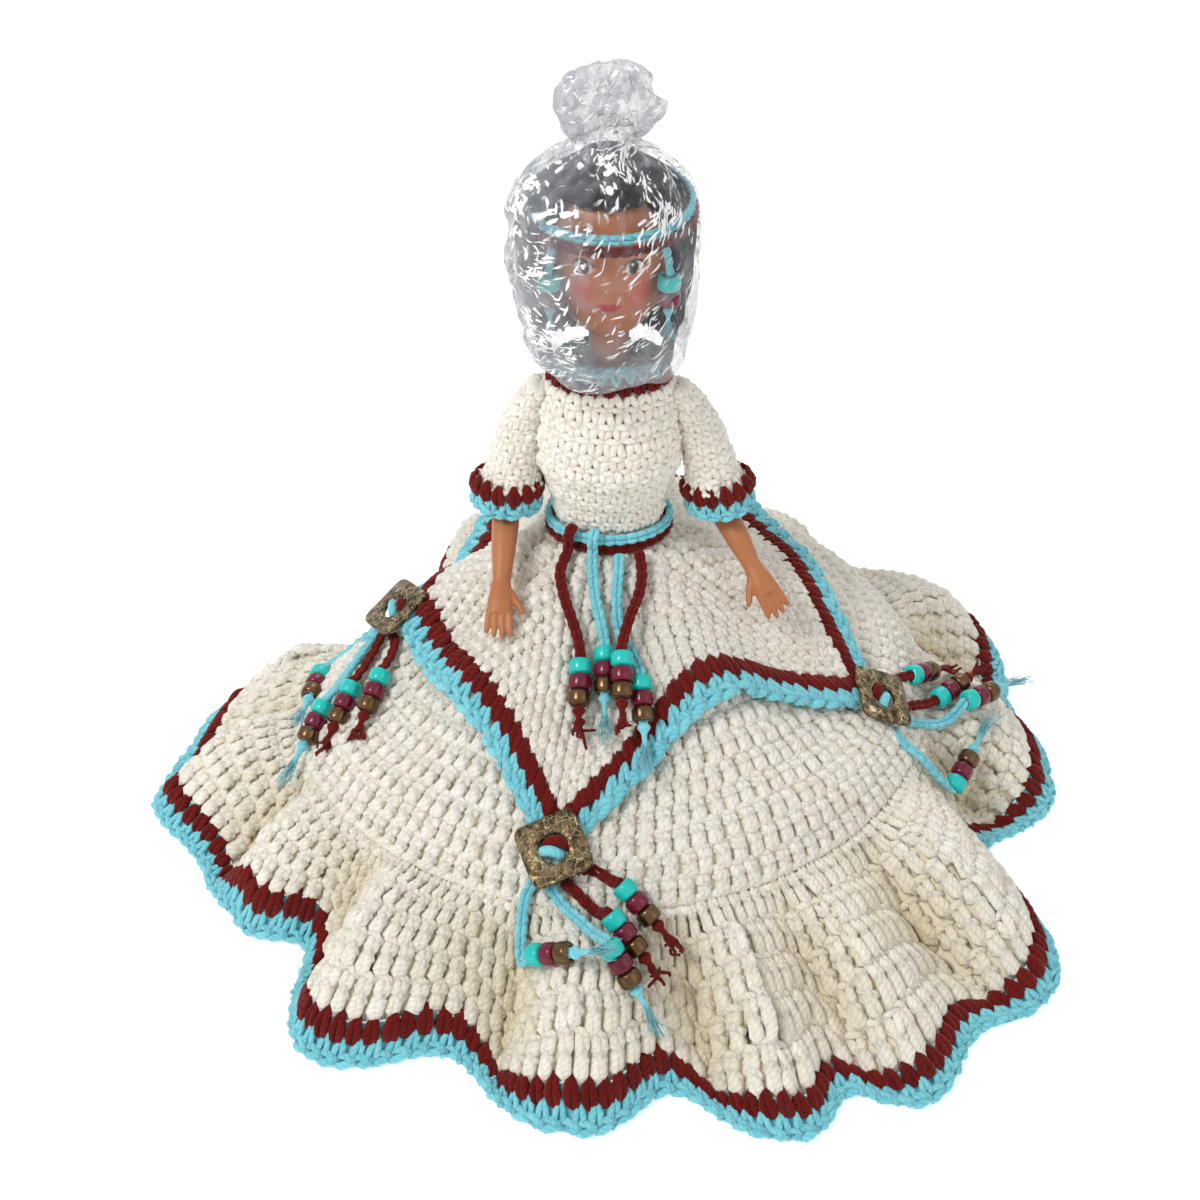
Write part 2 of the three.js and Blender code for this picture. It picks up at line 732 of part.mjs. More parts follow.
// Arms with jointed pegs, hands, sleeves and two-colour cuffs
function makeArm({ name, side, elbow, wrist, fingertip }) {
  const place = ([outwards, y, up]) => new THREE.Vector3(side * outwards, y, up);
  const shoulder = new THREE.Vector3(side * shoulderReach, 0, shoulderHeight);
  const elbowPoint = place(elbow);
  const wristPoint = place(wrist);
  const tipPoint = place(fingertip);
  const reach = new THREE.Vector3().subVectors(tipPoint, wristPoint);
  const handLength = reach.length();
  const pointing = reach.normalize();
  const across = new THREE.Vector3(-side, 0, 0);
  across.addScaledVector(pointing, -across.dot(pointing)).normalize();
  const onHand = (along, sideways) =>
    wristPoint.clone().addScaledVector(pointing, along).addScaledVector(across, sideways);
  const knuckles = handLength - fingerLength;
  const stops = [
    [new THREE.Vector3(0, 0, 3.4), 2, 2],
    [new THREE.Vector3(0, 0, 1.4), upperArmRadius - 0.9, upperArmRadius - 0.9],
    [elbowPoint.clone().multiplyScalar(0.1), upperArmRadius, upperArmRadius],
    [elbowPoint.clone().multiplyScalar(0.55), upperArmRadius, upperArmRadius],
    [elbowPoint.clone().multiplyScalar(0.93), forearmRadius, forearmRadius],
    [elbowPoint.clone().lerp(wristPoint, 0.2), forearmRadius, forearmRadius],
    [elbowPoint.clone().lerp(wristPoint, 0.6), 5, 4.6],
    [wristPoint, wristWidth, wristDepth],
    [onHand(0.45 * knuckles, 0), palmWidth, palmDepth],
    [onHand(knuckles, 0), palmWidth + 0.4, palmDepth - 0.6],
    [onHand(knuckles + 1.5, 0), palmWidth - 0.6, palmDepth - 1.4],
  ];
  const limb = sweptBody(
    stops.map((stop) => stop[0]),
    stops.map((stop) => [stop[1], stop[2]]),
    10,
    across,
  );
  const fingers = [-1.5, -0.5, 0.5, 1.5].map((order) => {
    const sideways = order * fingerRadius * 1.85;
    const shorter = fingerRadius + 1.1 * Math.abs(order - 0.3);
    const root = onHand(knuckles - 1, sideways);
    return capsule(root, onHand(handLength - shorter, sideways), fingerRadius);
  });
  const thumbRoot = onHand(0.3 * knuckles, palmWidth - 1.8);
  const thumbTip = onHand(0.3 * knuckles + 0.72 * thumbLength, palmWidth + 0.62 * thumbLength);
  const thumb = capsule(thumbRoot, thumbTip, fingerRadius * 1.15);
  const pegStart = new THREE.Vector3(0, 0, 0);
  const pegEnd = new THREE.Vector3(-side * pegDepth, 0, 0);
  const flangeStart = new THREE.Vector3(-side * (pegDepth - pegFlange), 0, 0);
  const pegs = [rod(pegStart, pegEnd, pegRadius, 14), rod(flangeStart, pegEnd, pegFlangeRadius, 14)];
  const group = new THREE.Group();
  group.position.copy(shoulder);
  doll.add(group);
  addPiece(`${name}_arm`, joined(limb, ...fingers, thumb, ...pegs), tanVinyl, group);
  makeSleeve(name, side, elbowPoint, group);
}

function makeSleeve(name, side, elbowPoint, group) {
  const upperLength = elbowPoint.length();
  const down = elbowPoint.clone().normalize();
  const sideways = new THREE.Vector3(1, 0, 0).addScaledVector(down, -down.x).normalize();
  const forwards = new THREE.Vector3().crossVectors(down, sideways);
  // Distance from the shoulder down the arm and the sleeve's outer radius there
  const outline = [
    [-9.6, 4.8],
    [-6.5, 7.8],
    [0, sleeveTopRadius],
    [0.45 * upperLength, sleeveMidRadius],
    [0.72 * upperLength, sleeveMidRadius + 0.35 * (cuffRadius - sleeveMidRadius)],
    [upperLength - 2 * cuffBand - 2, cuffRadius - 0.9],
  ];
  const sleeveEnd = outline.at(-1)[0];
  const tubePoint = (angle, distance, radius) =>
    down
      .clone()
      .multiplyScalar(distance)
      .addScaledVector(sideways, radius * Math.cos(angle * degree))
      .addScaledVector(forwards, radius * Math.sin(angle * degree));
  const sections = evenAngles(14).map((angle) => [
    ...outline.map(([distance, radius]) => tubePoint(angle, distance, radius)),
    ...outline.toReversed().map(([distance, radius]) => {
      const lowered = distance < 0 ? distance + sleeveCloth * 0.6 : distance;
      return tubePoint(angle, lowered, Math.max(radius - sleeveCloth, 1.2));
    }),
  ]);
  const pegWay = rod(
    new THREE.Vector3(0, 0, 0),
    new THREE.Vector3(-side * 2 * sleeveTopRadius, 0, 0),
    pegRadius + 1.2,
  );
  addPiece(`${name}_sleeve`, cutBy(ringThrough(sections), pegWay), creamYarn, group);
  const cuff = (label, order, finish) => {
    const from = sleeveEnd + seamGap + order * (cuffBand + seamGap);
    const flare = order * 0.5;
    const rim = [
      [from, cuffRadius - 0.8 + flare],
      [from + cuffBand, cuffRadius - 0.2 + flare],
    ];
    const band = evenAngles(14).map((angle) => [
      ...rim.map(([distance, radius]) => tubePoint(angle, distance, radius)),
      ...rim.toReversed().map(([distance, radius]) => tubePoint(angle, distance, radius - trimCloth)),
    ]);
    addPiece(`${name}_cuff_${label}`, ringThrough(band), finish, group);
  };
  cuff("red", 0, redYarn);
  cuff("blue", 1, blueYarn);
}

// Legs, swung forwards under the skirt, with a peg towards the torso
function makeLeg(name, side) {
  const points = legStations.map(([distance]) => new THREE.Vector3(0, 0, -distance));
  const sizes = legStations.map(([, halfWidth, halfDepth]) => [halfWidth, halfDepth]);
  const limb = sweptBody(points, sizes, 10, acrossDoll);
  const peg = rod(
    new THREE.Vector3(0, 0, 0),
    new THREE.Vector3(-side * (hipRadius + hipPegDepth), 0, 0),
    hipPegRadius,
    14,
  );
  const group = new THREE.Group();
  group.position.copy(hipPlace(side));
  group.rotation.set(-(Math.PI / 2 - legDip), 0, side * legSplay * degree, "ZXY");
  doll.add(group);
  addPiece(`${name}_leg`, joined(limb, peg), tanVinyl, group);
}

// Skirt shape, as the height of its outer face over the floor
function foldAt(angle) {
  const turned = turnFrom(hemFolds[0][0], angle);
  const count = hemFolds.length;
  let index = count - 1;
  while (turned < hemFolds[index][0]) index -= 1;
  const [fromAngle, fromReach, depth] = hemFolds[index];
  const [nextAngle, toReach] = hemFolds[(index + 1) % count];
  const toAngle = index === count - 1 ? nextAngle + fullTurn : nextAngle;
  const share = (turned - fromAngle) / (toAngle - fromAngle);
  const size = Math.min(1, (toAngle - fromAngle) / fullFold);
  const dip = Math.sin(Math.PI * share) ** (2 * foldPinch);
  return { reach: fromReach + (toReach - fromReach) * share - depth * dip, wave: (1 - 2 * dip) * size };
}

function seamAt(angle) {
  const away = Math.min(Math.abs(turnFrom(tuckAngle - fullTurn / 2, angle) - tuckAngle) / tuckSpan, 1);
  return seamRadius * (1 - tuckShare * Math.cos((Math.PI / 2) * away) ** 2);
}

function skirtHeight(angle, radius) {
  const seam = seamAt(angle);
  if (radius <= seam) {
    const width = (radius < skirtWaistRadius ? seamRadius : seam) - skirtWaistRadius;
    const share = (radius - skirtWaistRadius) / width;
    const dome = tierBulge - domeRise * Math.cos(tierDomes * angle * degree);
    return skirtTop - (skirtTop - seamHeight) * share + dome * Math.sin(Math.PI * Math.max(share, 0));
  }
  const { reach, wave } = foldAt(angle);
  const share = Math.min((radius - seam) / (reach - seam), 1);
  const fall = (seamHeight - hemTop) * (1 - share) ** hemSweep;
  const rise = foldRise * (foldLift + (1 - foldLift) * wave);
  return hemTop + fall + rise * Math.sin(Math.PI * share) * (1 - 0.4 * share);
}

function skirtPoint(angle, radius, lift, depth) {
  const inwards = polar(angle, -depth * Math.sin(clothTilt), -depth * Math.cos(clothTilt));
  return polar(angle, radius, skirtHeight(angle, radius) + lift).add(inwards);
}

function makeSkirt() {
  const between = (from, to) => (angle, share, depth) => {
    const start = from(angle);
    return skirtPoint(angle, start + (to(angle) - start) * share, 0, depth);
  };
  const foldAngles = hemFolds.flatMap(([angle], index) => {
    const next = hemFolds[(index + 1) % hemFolds.length][0] + (index === hemFolds.length - 1 ? fullTurn : 0);
    return Array.from({ length: stepsPerFold }, (_, step) => angle + ((next - angle) * step) / stepsPerFold);
  });
  const hem = (bands) => (angle) => foldAt(angle).reach - bands * (hemBand + seamGap);
  const waist = () => skirtWaistRadius;
  const below = (angle) => seamAt(angle) + 2 * fitGap;
  const gathered = (angle) => hem(2)(angle) - seamGap;
  addPiece("skirt_tier", clothBand(evenAngles(56), 5, skirtCloth, between(waist, seamAt)), creamYarn);
  addPiece("ruffle", clothBand(foldAngles, 4, skirtCloth, between(below, gathered)), creamYarn);
  const redFrom = (angle) => hem(2)(angle) + seamGap;
  const redTo = (angle) => hem(1)(angle);
  addPiece("hem_red", clothBand(foldAngles, 1, trimCloth - floorCut, between(redFrom, redTo)), redYarn);
  const blueFrom = (angle) => hem(1)(angle) + 2 * seamGap;
  const floor = new THREE.BoxGeometry(4 * seamRadius, 4 * seamRadius, seamHeight);
  floor.translate(0, 0, -seamHeight / 2);
  const edge = clothBand(foldAngles, 1, trimCloth + floorCut, between(blueFrom, hem(0)));
  addPiece("hem_blue", cutBy(edge, floor), blueYarn);
}

// Overskirt: a square of cloth draped over the skirt, its sides bowed and lifted
function sideAt(angle) {
  const first = overskirtCorners[0].angle;
  const turned = turnFrom(first, angle);
  const count = overskirtCorners.length;
  const angles = overskirtCorners.map((corner) => turnFrom(first, corner.angle));
  let index = count - 1;
  while (turned < angles[index]) index -= 1;
  const from = overskirtCorners[index];
  const to = overskirtCorners[(index + 1) % count];
  const start = polar(from.angle, from.reach, 0);
  const end = polar(to.angle, to.reach, 0);
  const way = polar(turned, 1, 0);
  const along = new THREE.Vector3().subVectors(end, start);
  const straight = (start.x * along.y - start.y * along.x) / (way.x * along.y - way.y * along.x);
  const toAngle = index === count - 1 ? angles[0] + fullTurn : angles[index + 1];
  const share = (turned - angles[index]) / (toAngle - angles[index]);
  const arch = Math.sin(Math.PI * share);
  return { reach: straight - from.bow * arch, lift: from.lift * arch ** 2 };
}

function overskirtPoint(angle, radius, depth) {
  const { reach, lift } = sideAt(angle);
  const share = Math.min(radius / reach, 1);
  return skirtPoint(angle, radius, overskirtRise + lift * share ** 4, depth);
}

function makeOverskirt() {
  const angles = overskirtCorners.flatMap((corner, index) => {
    const next = overskirtCorners[(index + 1) % overskirtCorners.length].angle;
    const span = turnFrom(corner.angle, next) - corner.angle;
    return Array.from({ length: stepsPerSide }, (_, step) => corner.angle + (span * step) / stepsPerSide);
  });
  const band = (from, to) => (angle, share, depth) => {
    const start = from(angle);
    return overskirtPoint(angle, start + (to(angle) - start) * share, depth);
  };
  const edge = (bands) => (angle) => sideAt(angle).reach - bands * (overskirtBand + 2 * seamGap);
  const waist = () => overskirtWaistRadius;
  const clothEnd = (angle) => edge(2)(angle) - 2 * seamGap;
  const redEnd = (angle) => edge(1)(angle) - 2 * seamGap;
  addPiece("overskirt", clothBand(angles, 4, overskirtCloth, band(waist, clothEnd)), creamYarn);
  addPiece("overskirt_trim_red", clothBand(angles, 1, trimCloth, band(edge(2), redEnd)), redYarn);
  addPiece("overskirt_trim_blue", clothBand(angles, 1, trimCloth, band(edge(1), edge(0))), blueYarn);
}

// Square plate at each overskirt corner, with its cords
function plateShape() {
  const inner = plateSide / 2 - plateCorner;
  const outline = new THREE.Shape();
  const hole = new THREE.Path();
  for (let quarter = 0; quarter < 4; quarter += 1) {
    const from = (quarter * Math.PI) / 2;
    const to = from + Math.PI / 2;
    const middle = new THREE.Vector2(inner, inner).rotateAround(new THREE.Vector2(), from);
    outline.absarc(middle.x, middle.y, plateCorner, from, to);
    hole.absarc(0, 0, plateHole, from, to);
  }
  outline.holes.push(hole);
  return outline;
}

function makeCorner({ name, angle, reach, clear }) {
  const centreRadius = reach - plateInset;
  const outwards = polar(angle, 1, 0);
  const sideways = new THREE.Vector3(-outwards.y, outwards.x, 0);
  const downhill = outwards.clone().multiplyScalar(Math.cos(clothTilt)).setZ(-Math.sin(clothTilt));
  const upright = new THREE.Vector3().crossVectors(sideways, downhill).negate();
  const plate = new THREE.ExtrudeGeometry(plateShape(), {
    depth: plateWall,
    bevelEnabled: false,
    curveSegments: 2,
  });
  plate.rotateZ(plateTurn * degree);
  const plateRise = overskirtRise + (2 * fitGap + layerGap) / Math.cos(clothTilt);
  const seat = polar(angle, centreRadius, skirtHeight(angle, centreRadius) + plateRise);
  const basis = new THREE.Matrix4().makeBasis(sideways, downhill.clone().negate(), upright);
  const group = new THREE.Group();
  group.applyMatrix4(basis.setPosition(seat));
  doll.add(group);
  addPiece(`${name}_plate`, sealed(plate), bronzePlate, group);
  strandRoutes.forEach((strand, index) => {
    makeStrand(name, clear[index], strand, polar(angle, centreRadius, 0), outwards);
  });
}

// Lifts the end of a route until the straight run after it clears the cloth, and gives its direction.
function raiseRun(points, clothAt) {
  const samples = [0, 0.2, 0.4, 0.6, 0.8, 1].map(clothAt);
  const start = points.at(-1);
  const end = samples.at(-1).clone();
  const poke = samples.map((spot, i) => spot.z - start.z - ((end.z - start.z) * i) / (samples.length - 1));
  const rise = Math.max(0, ...poke);
  start.z += rise;
  end.z += rise;
  return end.sub(start).normalize();
}

function makeStrand(corner, clear, { name, colour, route, heading }, centre, outwards) {
  const sideways = new THREE.Vector3(-outwards.y, outwards.x, 0);
  const onSkirt = ([aside, out], height) => {
    const spot = centre.clone().addScaledVector(sideways, aside).addScaledVector(outwards, out);
    const turned = Math.atan2(spot.x, -spot.y) / degree;
    return skirtPoint(turned, Math.hypot(spot.x, spot.y), 0, -height);
  };
  const points = route.map((stop, index) => {
    const share = index / (route.length - 1);
    return onSkirt(stop, clear + strandRadius + (beadRadius - strandRadius) * share ** 3);
  });
  const [aside, out] = route.at(-1);
  const run = beadsPerCord * beadLength + yarnKnotLength + yarnEndLength;
  const alongRun = (share) => {
    const step = share * run * Math.cos(clothTilt);
    return [aside + step * Math.cos(heading * degree), out + step * Math.sin(heading * degree)];
  };
  const straight = raiseRun(points, (share) => onSkirt(alongRun(share), clear + beadRadius));
  addPiece(
    `${corner}_strand_${name}`,
    beadedCord(points, straight, beadsPerCord, strandRadius, sideways),
    yarns[colour],
  );
}

// Belt of two cords tied in front, and its four beaded tails
function beltPoint(angle, height, extra) {
  return ovalPoint(bodiceStations, waistHeight, angle, height, extra);
}

function makeBelt() {
  const away = fitGap + beltCord;
  const ring = (name, height, finish) => {
    const centreAt = (angle) => beltPoint(angle, height, away);
    addPiece(name, cordRing(evenAngles(18), 5, beltCord, centreAt), finish);
  };
  ring("belt_blue", beltCord + seamGap / 2, blueYarn);
  ring("belt_red", -beltCord - seamGap / 2, redYarn);
  beltTails.forEach(makeBeltTail);
}

function makeBeltTail({ name, colour, overBelt, route, heading }) {
  const onCloth = ([x, y, lift], clear) => {
    const radius = Math.hypot(x, y);
    const spot = overskirtPoint(Math.atan2(x, -y) / degree, radius, 0);
    return spot.setZ(spot.z + lift + clear / Math.cos(clothTilt));
  };
  const [firstX, firstY] = route[0];
  const startAngle = Math.atan2(firstX, -firstY) / degree;
  const beyond = 2 * beltCord + beltTailRadius + 2 * fitGap;
  const over = [
    beltPoint(startAngle, 2 * beltCord + beltTailRadius + 3 * fitGap, beltTailRadius + fitGap),
    beltPoint(startAngle, 2 * beltCord + 2 * fitGap, beyond),
    beltPoint(startAngle, -beltCord, beyond + fitGap),
  ];
  const under = [beltPoint(startAngle, -beltCord, beyond)];
  const clearAt = (index) => {
    const share = index / (route.length - 1);
    return fitGap + layerGap / 2 + beltTailRadius + (beadRadius - beltTailRadius) * share ** 3;
  };
  const laid = route.map((stop, index) => onCloth(stop, clearAt(index)));
  const points = [...(overBelt ? over : under), ...laid];
  const [x, y, lift] = route.at(-1);
  const run = beadsPerCord * beadLength;
  const alongRun = (share) => {
    const step = share * (run + yarnKnotLength) * Math.cos(clothTilt);
    return [x + step * Math.sin(heading * degree), y - step * Math.cos(heading * degree), lift];
  };
  const straight = raiseRun(points, (share) => onCloth(alongRun(share), clearAt(route.length - 1)));
  const end = points.at(-1);
  const threadRadius = beltTailRadius * 0.75;
  const pastBeads = beadStart + run + seamGap;
  const stops = [
    [beadStart - seamGap, threadRadius],
    [pastBeads, threadRadius],
    [pastBeads + 0.5 * yarnKnotLength, yarnKnotRadius],
    [pastBeads + yarnKnotLength, yarnEndRadius],
    [pastBeads + yarnKnotLength + yarnEndLength, yarnEndRadius],
  ];
  const onward = stops.map(([distance]) => end.clone().addScaledVector(straight, distance));
  const radii = [...points.map(() => beltTailRadius), ...stops.map((stop) => stop[1])];
  const cord = sweptBody([...points, ...onward], radii.map((size) => [size, size]), 6, acrossDoll);
  addPiece(`belt_tail_${name}`, cord, yarns[colour]);
  const bore = threadRadius + fitGap;
  const profile = [
    [bore, 0],
    [beadGroove, 0],
  ];
  for (let bead = 0; bead < beadsPerCord; bead += 1) {
    const base = bead * beadLength;
    profile.push([beadRadius, base + 0.2 * beadLength]);
    profile.push([beadRadius, base + 0.8 * beadLength]);
    profile.push([beadGroove, base + beadLength]);
  }
  profile.push([bore, run], [bore, 0]);
  const outline = profile.map(([radius, height]) => new THREE.Vector2(radius, height - run / 2));
  const seat = end.clone().addScaledVector(straight, beadStart);
  const beads = laidBetween(
    new THREE.LatheGeometry(outline, 7),
    seat,
    seat.clone().addScaledVector(straight, run),
  );
  addPiece(`belt_beads_${name}`, sealed(beads), beadFinish);
}

makeTorso();
makeHead();
makeHair();
makeHeadband();
makeFilm();
makeBodice();
arms.forEach(makeArm);
makeLeg("right", -1);
makeLeg("left", 1);
makeSkirt();
makeOverskirt();
overskirtCorners.forEach(makeCorner);
makeBelt();

export default doll;
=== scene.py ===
import math

import bpy
import numpy as np
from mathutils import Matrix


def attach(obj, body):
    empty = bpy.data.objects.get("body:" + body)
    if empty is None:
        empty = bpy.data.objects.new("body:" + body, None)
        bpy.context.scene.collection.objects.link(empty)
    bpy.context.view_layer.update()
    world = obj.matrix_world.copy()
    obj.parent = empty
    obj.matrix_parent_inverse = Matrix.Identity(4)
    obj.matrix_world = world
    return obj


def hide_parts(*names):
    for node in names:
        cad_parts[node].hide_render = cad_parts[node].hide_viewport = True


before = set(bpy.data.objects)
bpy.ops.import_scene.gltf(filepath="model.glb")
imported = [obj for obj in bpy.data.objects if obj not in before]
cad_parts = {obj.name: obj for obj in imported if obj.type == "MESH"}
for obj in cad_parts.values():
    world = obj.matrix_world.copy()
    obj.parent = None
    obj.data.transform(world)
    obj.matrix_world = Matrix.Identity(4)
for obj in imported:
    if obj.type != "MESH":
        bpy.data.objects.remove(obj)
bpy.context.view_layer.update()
mm = 0.001
rng = np.random.default_rng(7)
print("frame loaded")

# shader helpers


def feed(tree, socket, value):
    if isinstance(value, bpy.types.NodeSocket):
        tree.links.new(value, socket)
    else:
        socket.default_value = value


def node(tree, kind, inputs=None, **values):
    made = tree.nodes.new(kind)
    for name, value in values.items():
        setattr(made, name, value)
    for name, value in (inputs or {}).items():
        feed(tree, made.inputs[name], value)
    return made


def maths(tree, operation, a, b=0.0, c=0.0, clamp=False):
    made = node(tree, "ShaderNodeMath", {0: a, 1: b, 2: c}, operation=operation, use_clamp=clamp)
    return made.outputs[0]


def mixColour(tree, share, first, second):
    return node(tree, "ShaderNodeMix", {0: share, 6: first, 7: second}, data_type="RGBA").outputs[2]


def objectPlace(tree):
    return node(tree, "ShaderNodeTexCoord").outputs["Object"]


def attribute(tree, name, output="Fac"):
    return node(tree, "ShaderNodeAttribute", attribute_name=name).outputs[output]


def separate(tree, vector):
    return node(tree, "ShaderNodeSeparateXYZ", {0: vector}).outputs


def yarnPlace(tree):
    return separate(tree, node(tree, "ShaderNodeUVMap", uv_map="yarn").outputs[0])


def noise(tree, scale, detail=2.0):
    made = node(tree, "ShaderNodeTexNoise", {"Scale": scale, "Detail": detail, "Vector": objectPlace(tree)})
    return made.outputs["Fac"]


def ramp(tree, value, start, over):
    # 0 up to a start, rising to 1 over a distance
    return maths(tree, "DIVIDE", maths(tree, "SUBTRACT", value, start), over, clamp=True)


def cracks(tree, scale, width):
    # 1 on the lines between the cells of a broken pattern, 0 away from them
    inputs = {"Scale": scale, "Vector": objectPlace(tree)}
    edge = node(tree, "ShaderNodeTexVoronoi", inputs, feature="DISTANCE_TO_EDGE").outputs["Distance"]
    return maths(tree, "SUBTRACT", 1.0, maths(tree, "DIVIDE", edge, width), clamp=True)


def shards(tree, scale, turn, longer):
    # a random level for each straight-sided cell of a pattern, drawn out along two turned axes
    inputs = {"Rotation": turn, "Scale": (1.0, longer, longer), "Vector": objectPlace(tree)}
    spread = node(tree, "ShaderNodeMapping", inputs, vector_type="TEXTURE").outputs[0]
    cell = node(tree, "ShaderNodeTexVoronoi", {"Scale": scale, "Vector": spread}).outputs["Color"]
    return node(tree, "ShaderNodeSeparateColor", {0: cell}).outputs[0]


def material(name, **values):
    made = bpy.data.materials.new(name)
    made.use_nodes = True
    skin = made.node_tree.nodes["Principled BSDF"]
    for label, value in values.items():
        skin.inputs[label.replace("_", " ")].default_value = value
    return made, made.node_tree, skin


def dress(tree, skin, colour, height=None, strength=0.0, distance=0.0):
    # a colour, and a bump of so many mm where a height is given
    tree.links.new(colour, skin.inputs["Base Color"])
    if height is not None:
        inputs = {"Strength": strength, "Distance": distance * mm, "Height": height}
        tree.links.new(node(tree, "ShaderNodeBump", inputs).outputs[0], skin.inputs["Normal"])


def paint(*levels):
    # screen levels 0..255 to the renderer's linear values
    c = np.array(levels) / 255.0
    linear = np.where(c <= 0.04045, c / 12.92, ((c + 0.055) / 1.055) ** 2.4)
    return (*(float(x) for x in linear), 1.0)


# camera, light and floor

cameraSet = {
    "aim": (0.0, 0.0, 128.0), "away": 732.0, "above": 35.0, "lens": 53.43, "sensor": 36.0,
    "shift": (-0.0075, -0.0708),
}
lightSet = {
    "world": 0.47, "worldTint": (1.0, 0.985, 0.965, 1), "floorGlow": 0.42,
    "lamps": [  # name, place and aim in metres, width, power
        ("keyLamp", (-0.9, -0.6, 1.4), (0, 0, 0.1), 0.6, 15.0),
        ("fillLamp", (1.1, -0.7, 1.0), (0, 0, 0.1), 1.2, 3.2),
        ("rimLamp", (0.2, 1.1, 1.2), (0, 0, 0.15), 0.9, 5.0),
    ],
}


def link(piece):
    bpy.context.scene.collection.objects.link(piece)
    return piece


def makeCamera(s):
    data = bpy.data.cameras.new("photoCamera")
    data.lens, data.sensor_width = s["lens"], s["sensor"]
    data.shift_x, data.shift_y = s["shift"]
    camera = link(bpy.data.objects.new("photoCamera", data))
    rise = math.radians(s["above"])
    back = np.array([0.0, -math.cos(rise), math.sin(rise)])
    camera.location = (np.array(s["aim"]) + back * s["away"]) * mm
    camera.rotation_euler = (math.pi / 2 - rise, 0, 0)
    bpy.context.scene.camera = camera


def makeLamp(name, place, aim, size, power):
    data = bpy.data.lights.new(name, "AREA")
    data.shape, data.size, data.energy = "DISK", size, power
    lamp = link(bpy.data.objects.new(name, data))
    lamp.location = place
    way = np.array(aim) - np.array(place)
    tilt = math.atan2(math.hypot(way[0], way[1]), -way[2])
    lamp.rotation_euler = (tilt, 0, math.atan2(way[0], -way[1]) + math.pi)


def makeWorld(s):
    # white to the camera, in reflections and through clear pieces; plain light to everything else
    world = bpy.data.worlds.new("studio")
    bpy.context.scene.world = world
    world.use_nodes = True
    tree = world.node_tree
    plain = tree.nodes["Background"]
    plain.inputs["Color"].default_value = s["worldTint"]
    plain.inputs["Strength"].default_value = s["world"]
    white = node(tree, "ShaderNodeBackground", {"Color": (1, 1, 1, 1)})
    path = node(tree, "ShaderNodeLightPath")
    seen = path.outputs["Is Camera Ray"]
    for name in ("Is Glossy Ray", "Is Transmission Ray"):
        seen = maths(tree, "ADD", seen, path.outputs[name], clamp=True)
    mix = node(tree, "ShaderNodeMixShader", {0: seen, 1: plain.outputs[0], 2: white.outputs[0]})
    tree.links.new(mix.outputs[0], tree.nodes["World Output"].inputs["Surface"])


def makeFloor(glow, wide=30.0):
    # the glow keeps the far floor as pale as the background
    mesh = bpy.data.meshes.new("floor")
    corners = [(-wide, -wide, 0), (wide, -wide, 0), (wide, wide, 0), (-wide, wide, 0)]
    mesh.from_pydata(corners, [], [(0, 1, 2, 3)])
    floor = link(bpy.data.objects.new("floor", mesh))
    pale, _, _ = material("paleFloor", Base_Color=(0.92, 0.92, 0.92, 1), Roughness=0.9,
                          Emission_Color=(1, 1, 1, 1), Emission_Strength=glow)
    mesh.materials.append(pale)


makeCamera(cameraSet)
makeWorld(lightSet)
makeFloor(lightSet["floorGlow"])
for lampSet in lightSet["lamps"]:
    makeLamp(*lampSet)
bpy.context.scene.view_settings.view_transform = "Standard"
print("camera and lamps set")

# materials


def makeYarnGroup():
    # plies: stripes that climb round the yarn, from its length and the turn about it; fuzz: fine noise
    tree = bpy.data.node_groups.new("yarnTwist", "ShaderNodeTree")
    for label, way, kind in (("Colour", "INPUT", "Color"), ("Deep", "INPUT", "Color"),
                             ("Colour", "OUTPUT", "Color"), ("Height", "OUTPUT", "Float")):
        tree.interface.new_socket(label, in_out=way, socket_type="NodeSocket" + kind)
    given, result = tree.nodes.new("NodeGroupInput"), tree.nodes.new("NodeGroupOutput")
    place = yarnPlace(tree)
    climb = maths(tree, "MULTIPLY_ADD", place[1], 3.0, maths(tree, "MULTIPLY", place[0], 0.42))
    ply = maths(tree, "POWER", maths(tree, "MULTIPLY", maths(tree, "PINGPONG", climb, 0.5), 2.0), 0.5)
    coarse = maths(tree, "MULTIPLY", noise(tree, 800.0, 3.0), 0.55)
    fuzz = maths(tree, "MULTIPLY_ADD", noise(tree, 2300.0), 0.45, coarse)
    # tint: random tone for each yarn, lowered as painted shade in the ruffle's creases
    tint = maths(tree, "MULTIPLY", attribute(tree, "tint"), 0.3)
    light = maths(tree, "MULTIPLY_ADD", fuzz, 0.65, tint)
    # random blotches of tone, plus painted shade that darkens the grooves between plies
    toneAndPlyShade = maths(tree, "MULTIPLY_ADD", noise(tree, 60.0), 0.2, maths(tree, "MULTIPLY", ply, 0.34))
    light = maths(tree, "ADD", light, toneAndPlyShade, clamp=True)
    # Deep is the darker end, reached by random tone and by painted shade
    shade = mixColour(tree, light, given.outputs["Deep"], given.outputs["Colour"])
    tree.links.new(shade, result.inputs["Colour"])
    tree.links.new(maths(tree, "MULTIPLY_ADD", fuzz, 1.6, ply), result.inputs["Height"])
    return tree


yarnTwist = makeYarnGroup()


def yarnMaterial(name, colour, deep, sheen):
    made, tree, skin = material(
        name, Roughness=0.95, Specular_IOR_Level=0.1, Sheen_Weight=sheen, Sheen_Roughness=0.5,
        Subsurface_Weight=0.3, Subsurface_Scale=0.0015, Subsurface_Radius=(1, 1, 1))
    twist = node(tree, "ShaderNodeGroup", node_tree=yarnTwist)
    feed(tree, twist.inputs["Colour"], colour)
    feed(tree, twist.inputs["Deep"], deep)
    dress(tree, skin, twist.outputs["Colour"], twist.outputs["Height"], 0.7, 0.45)
    return made


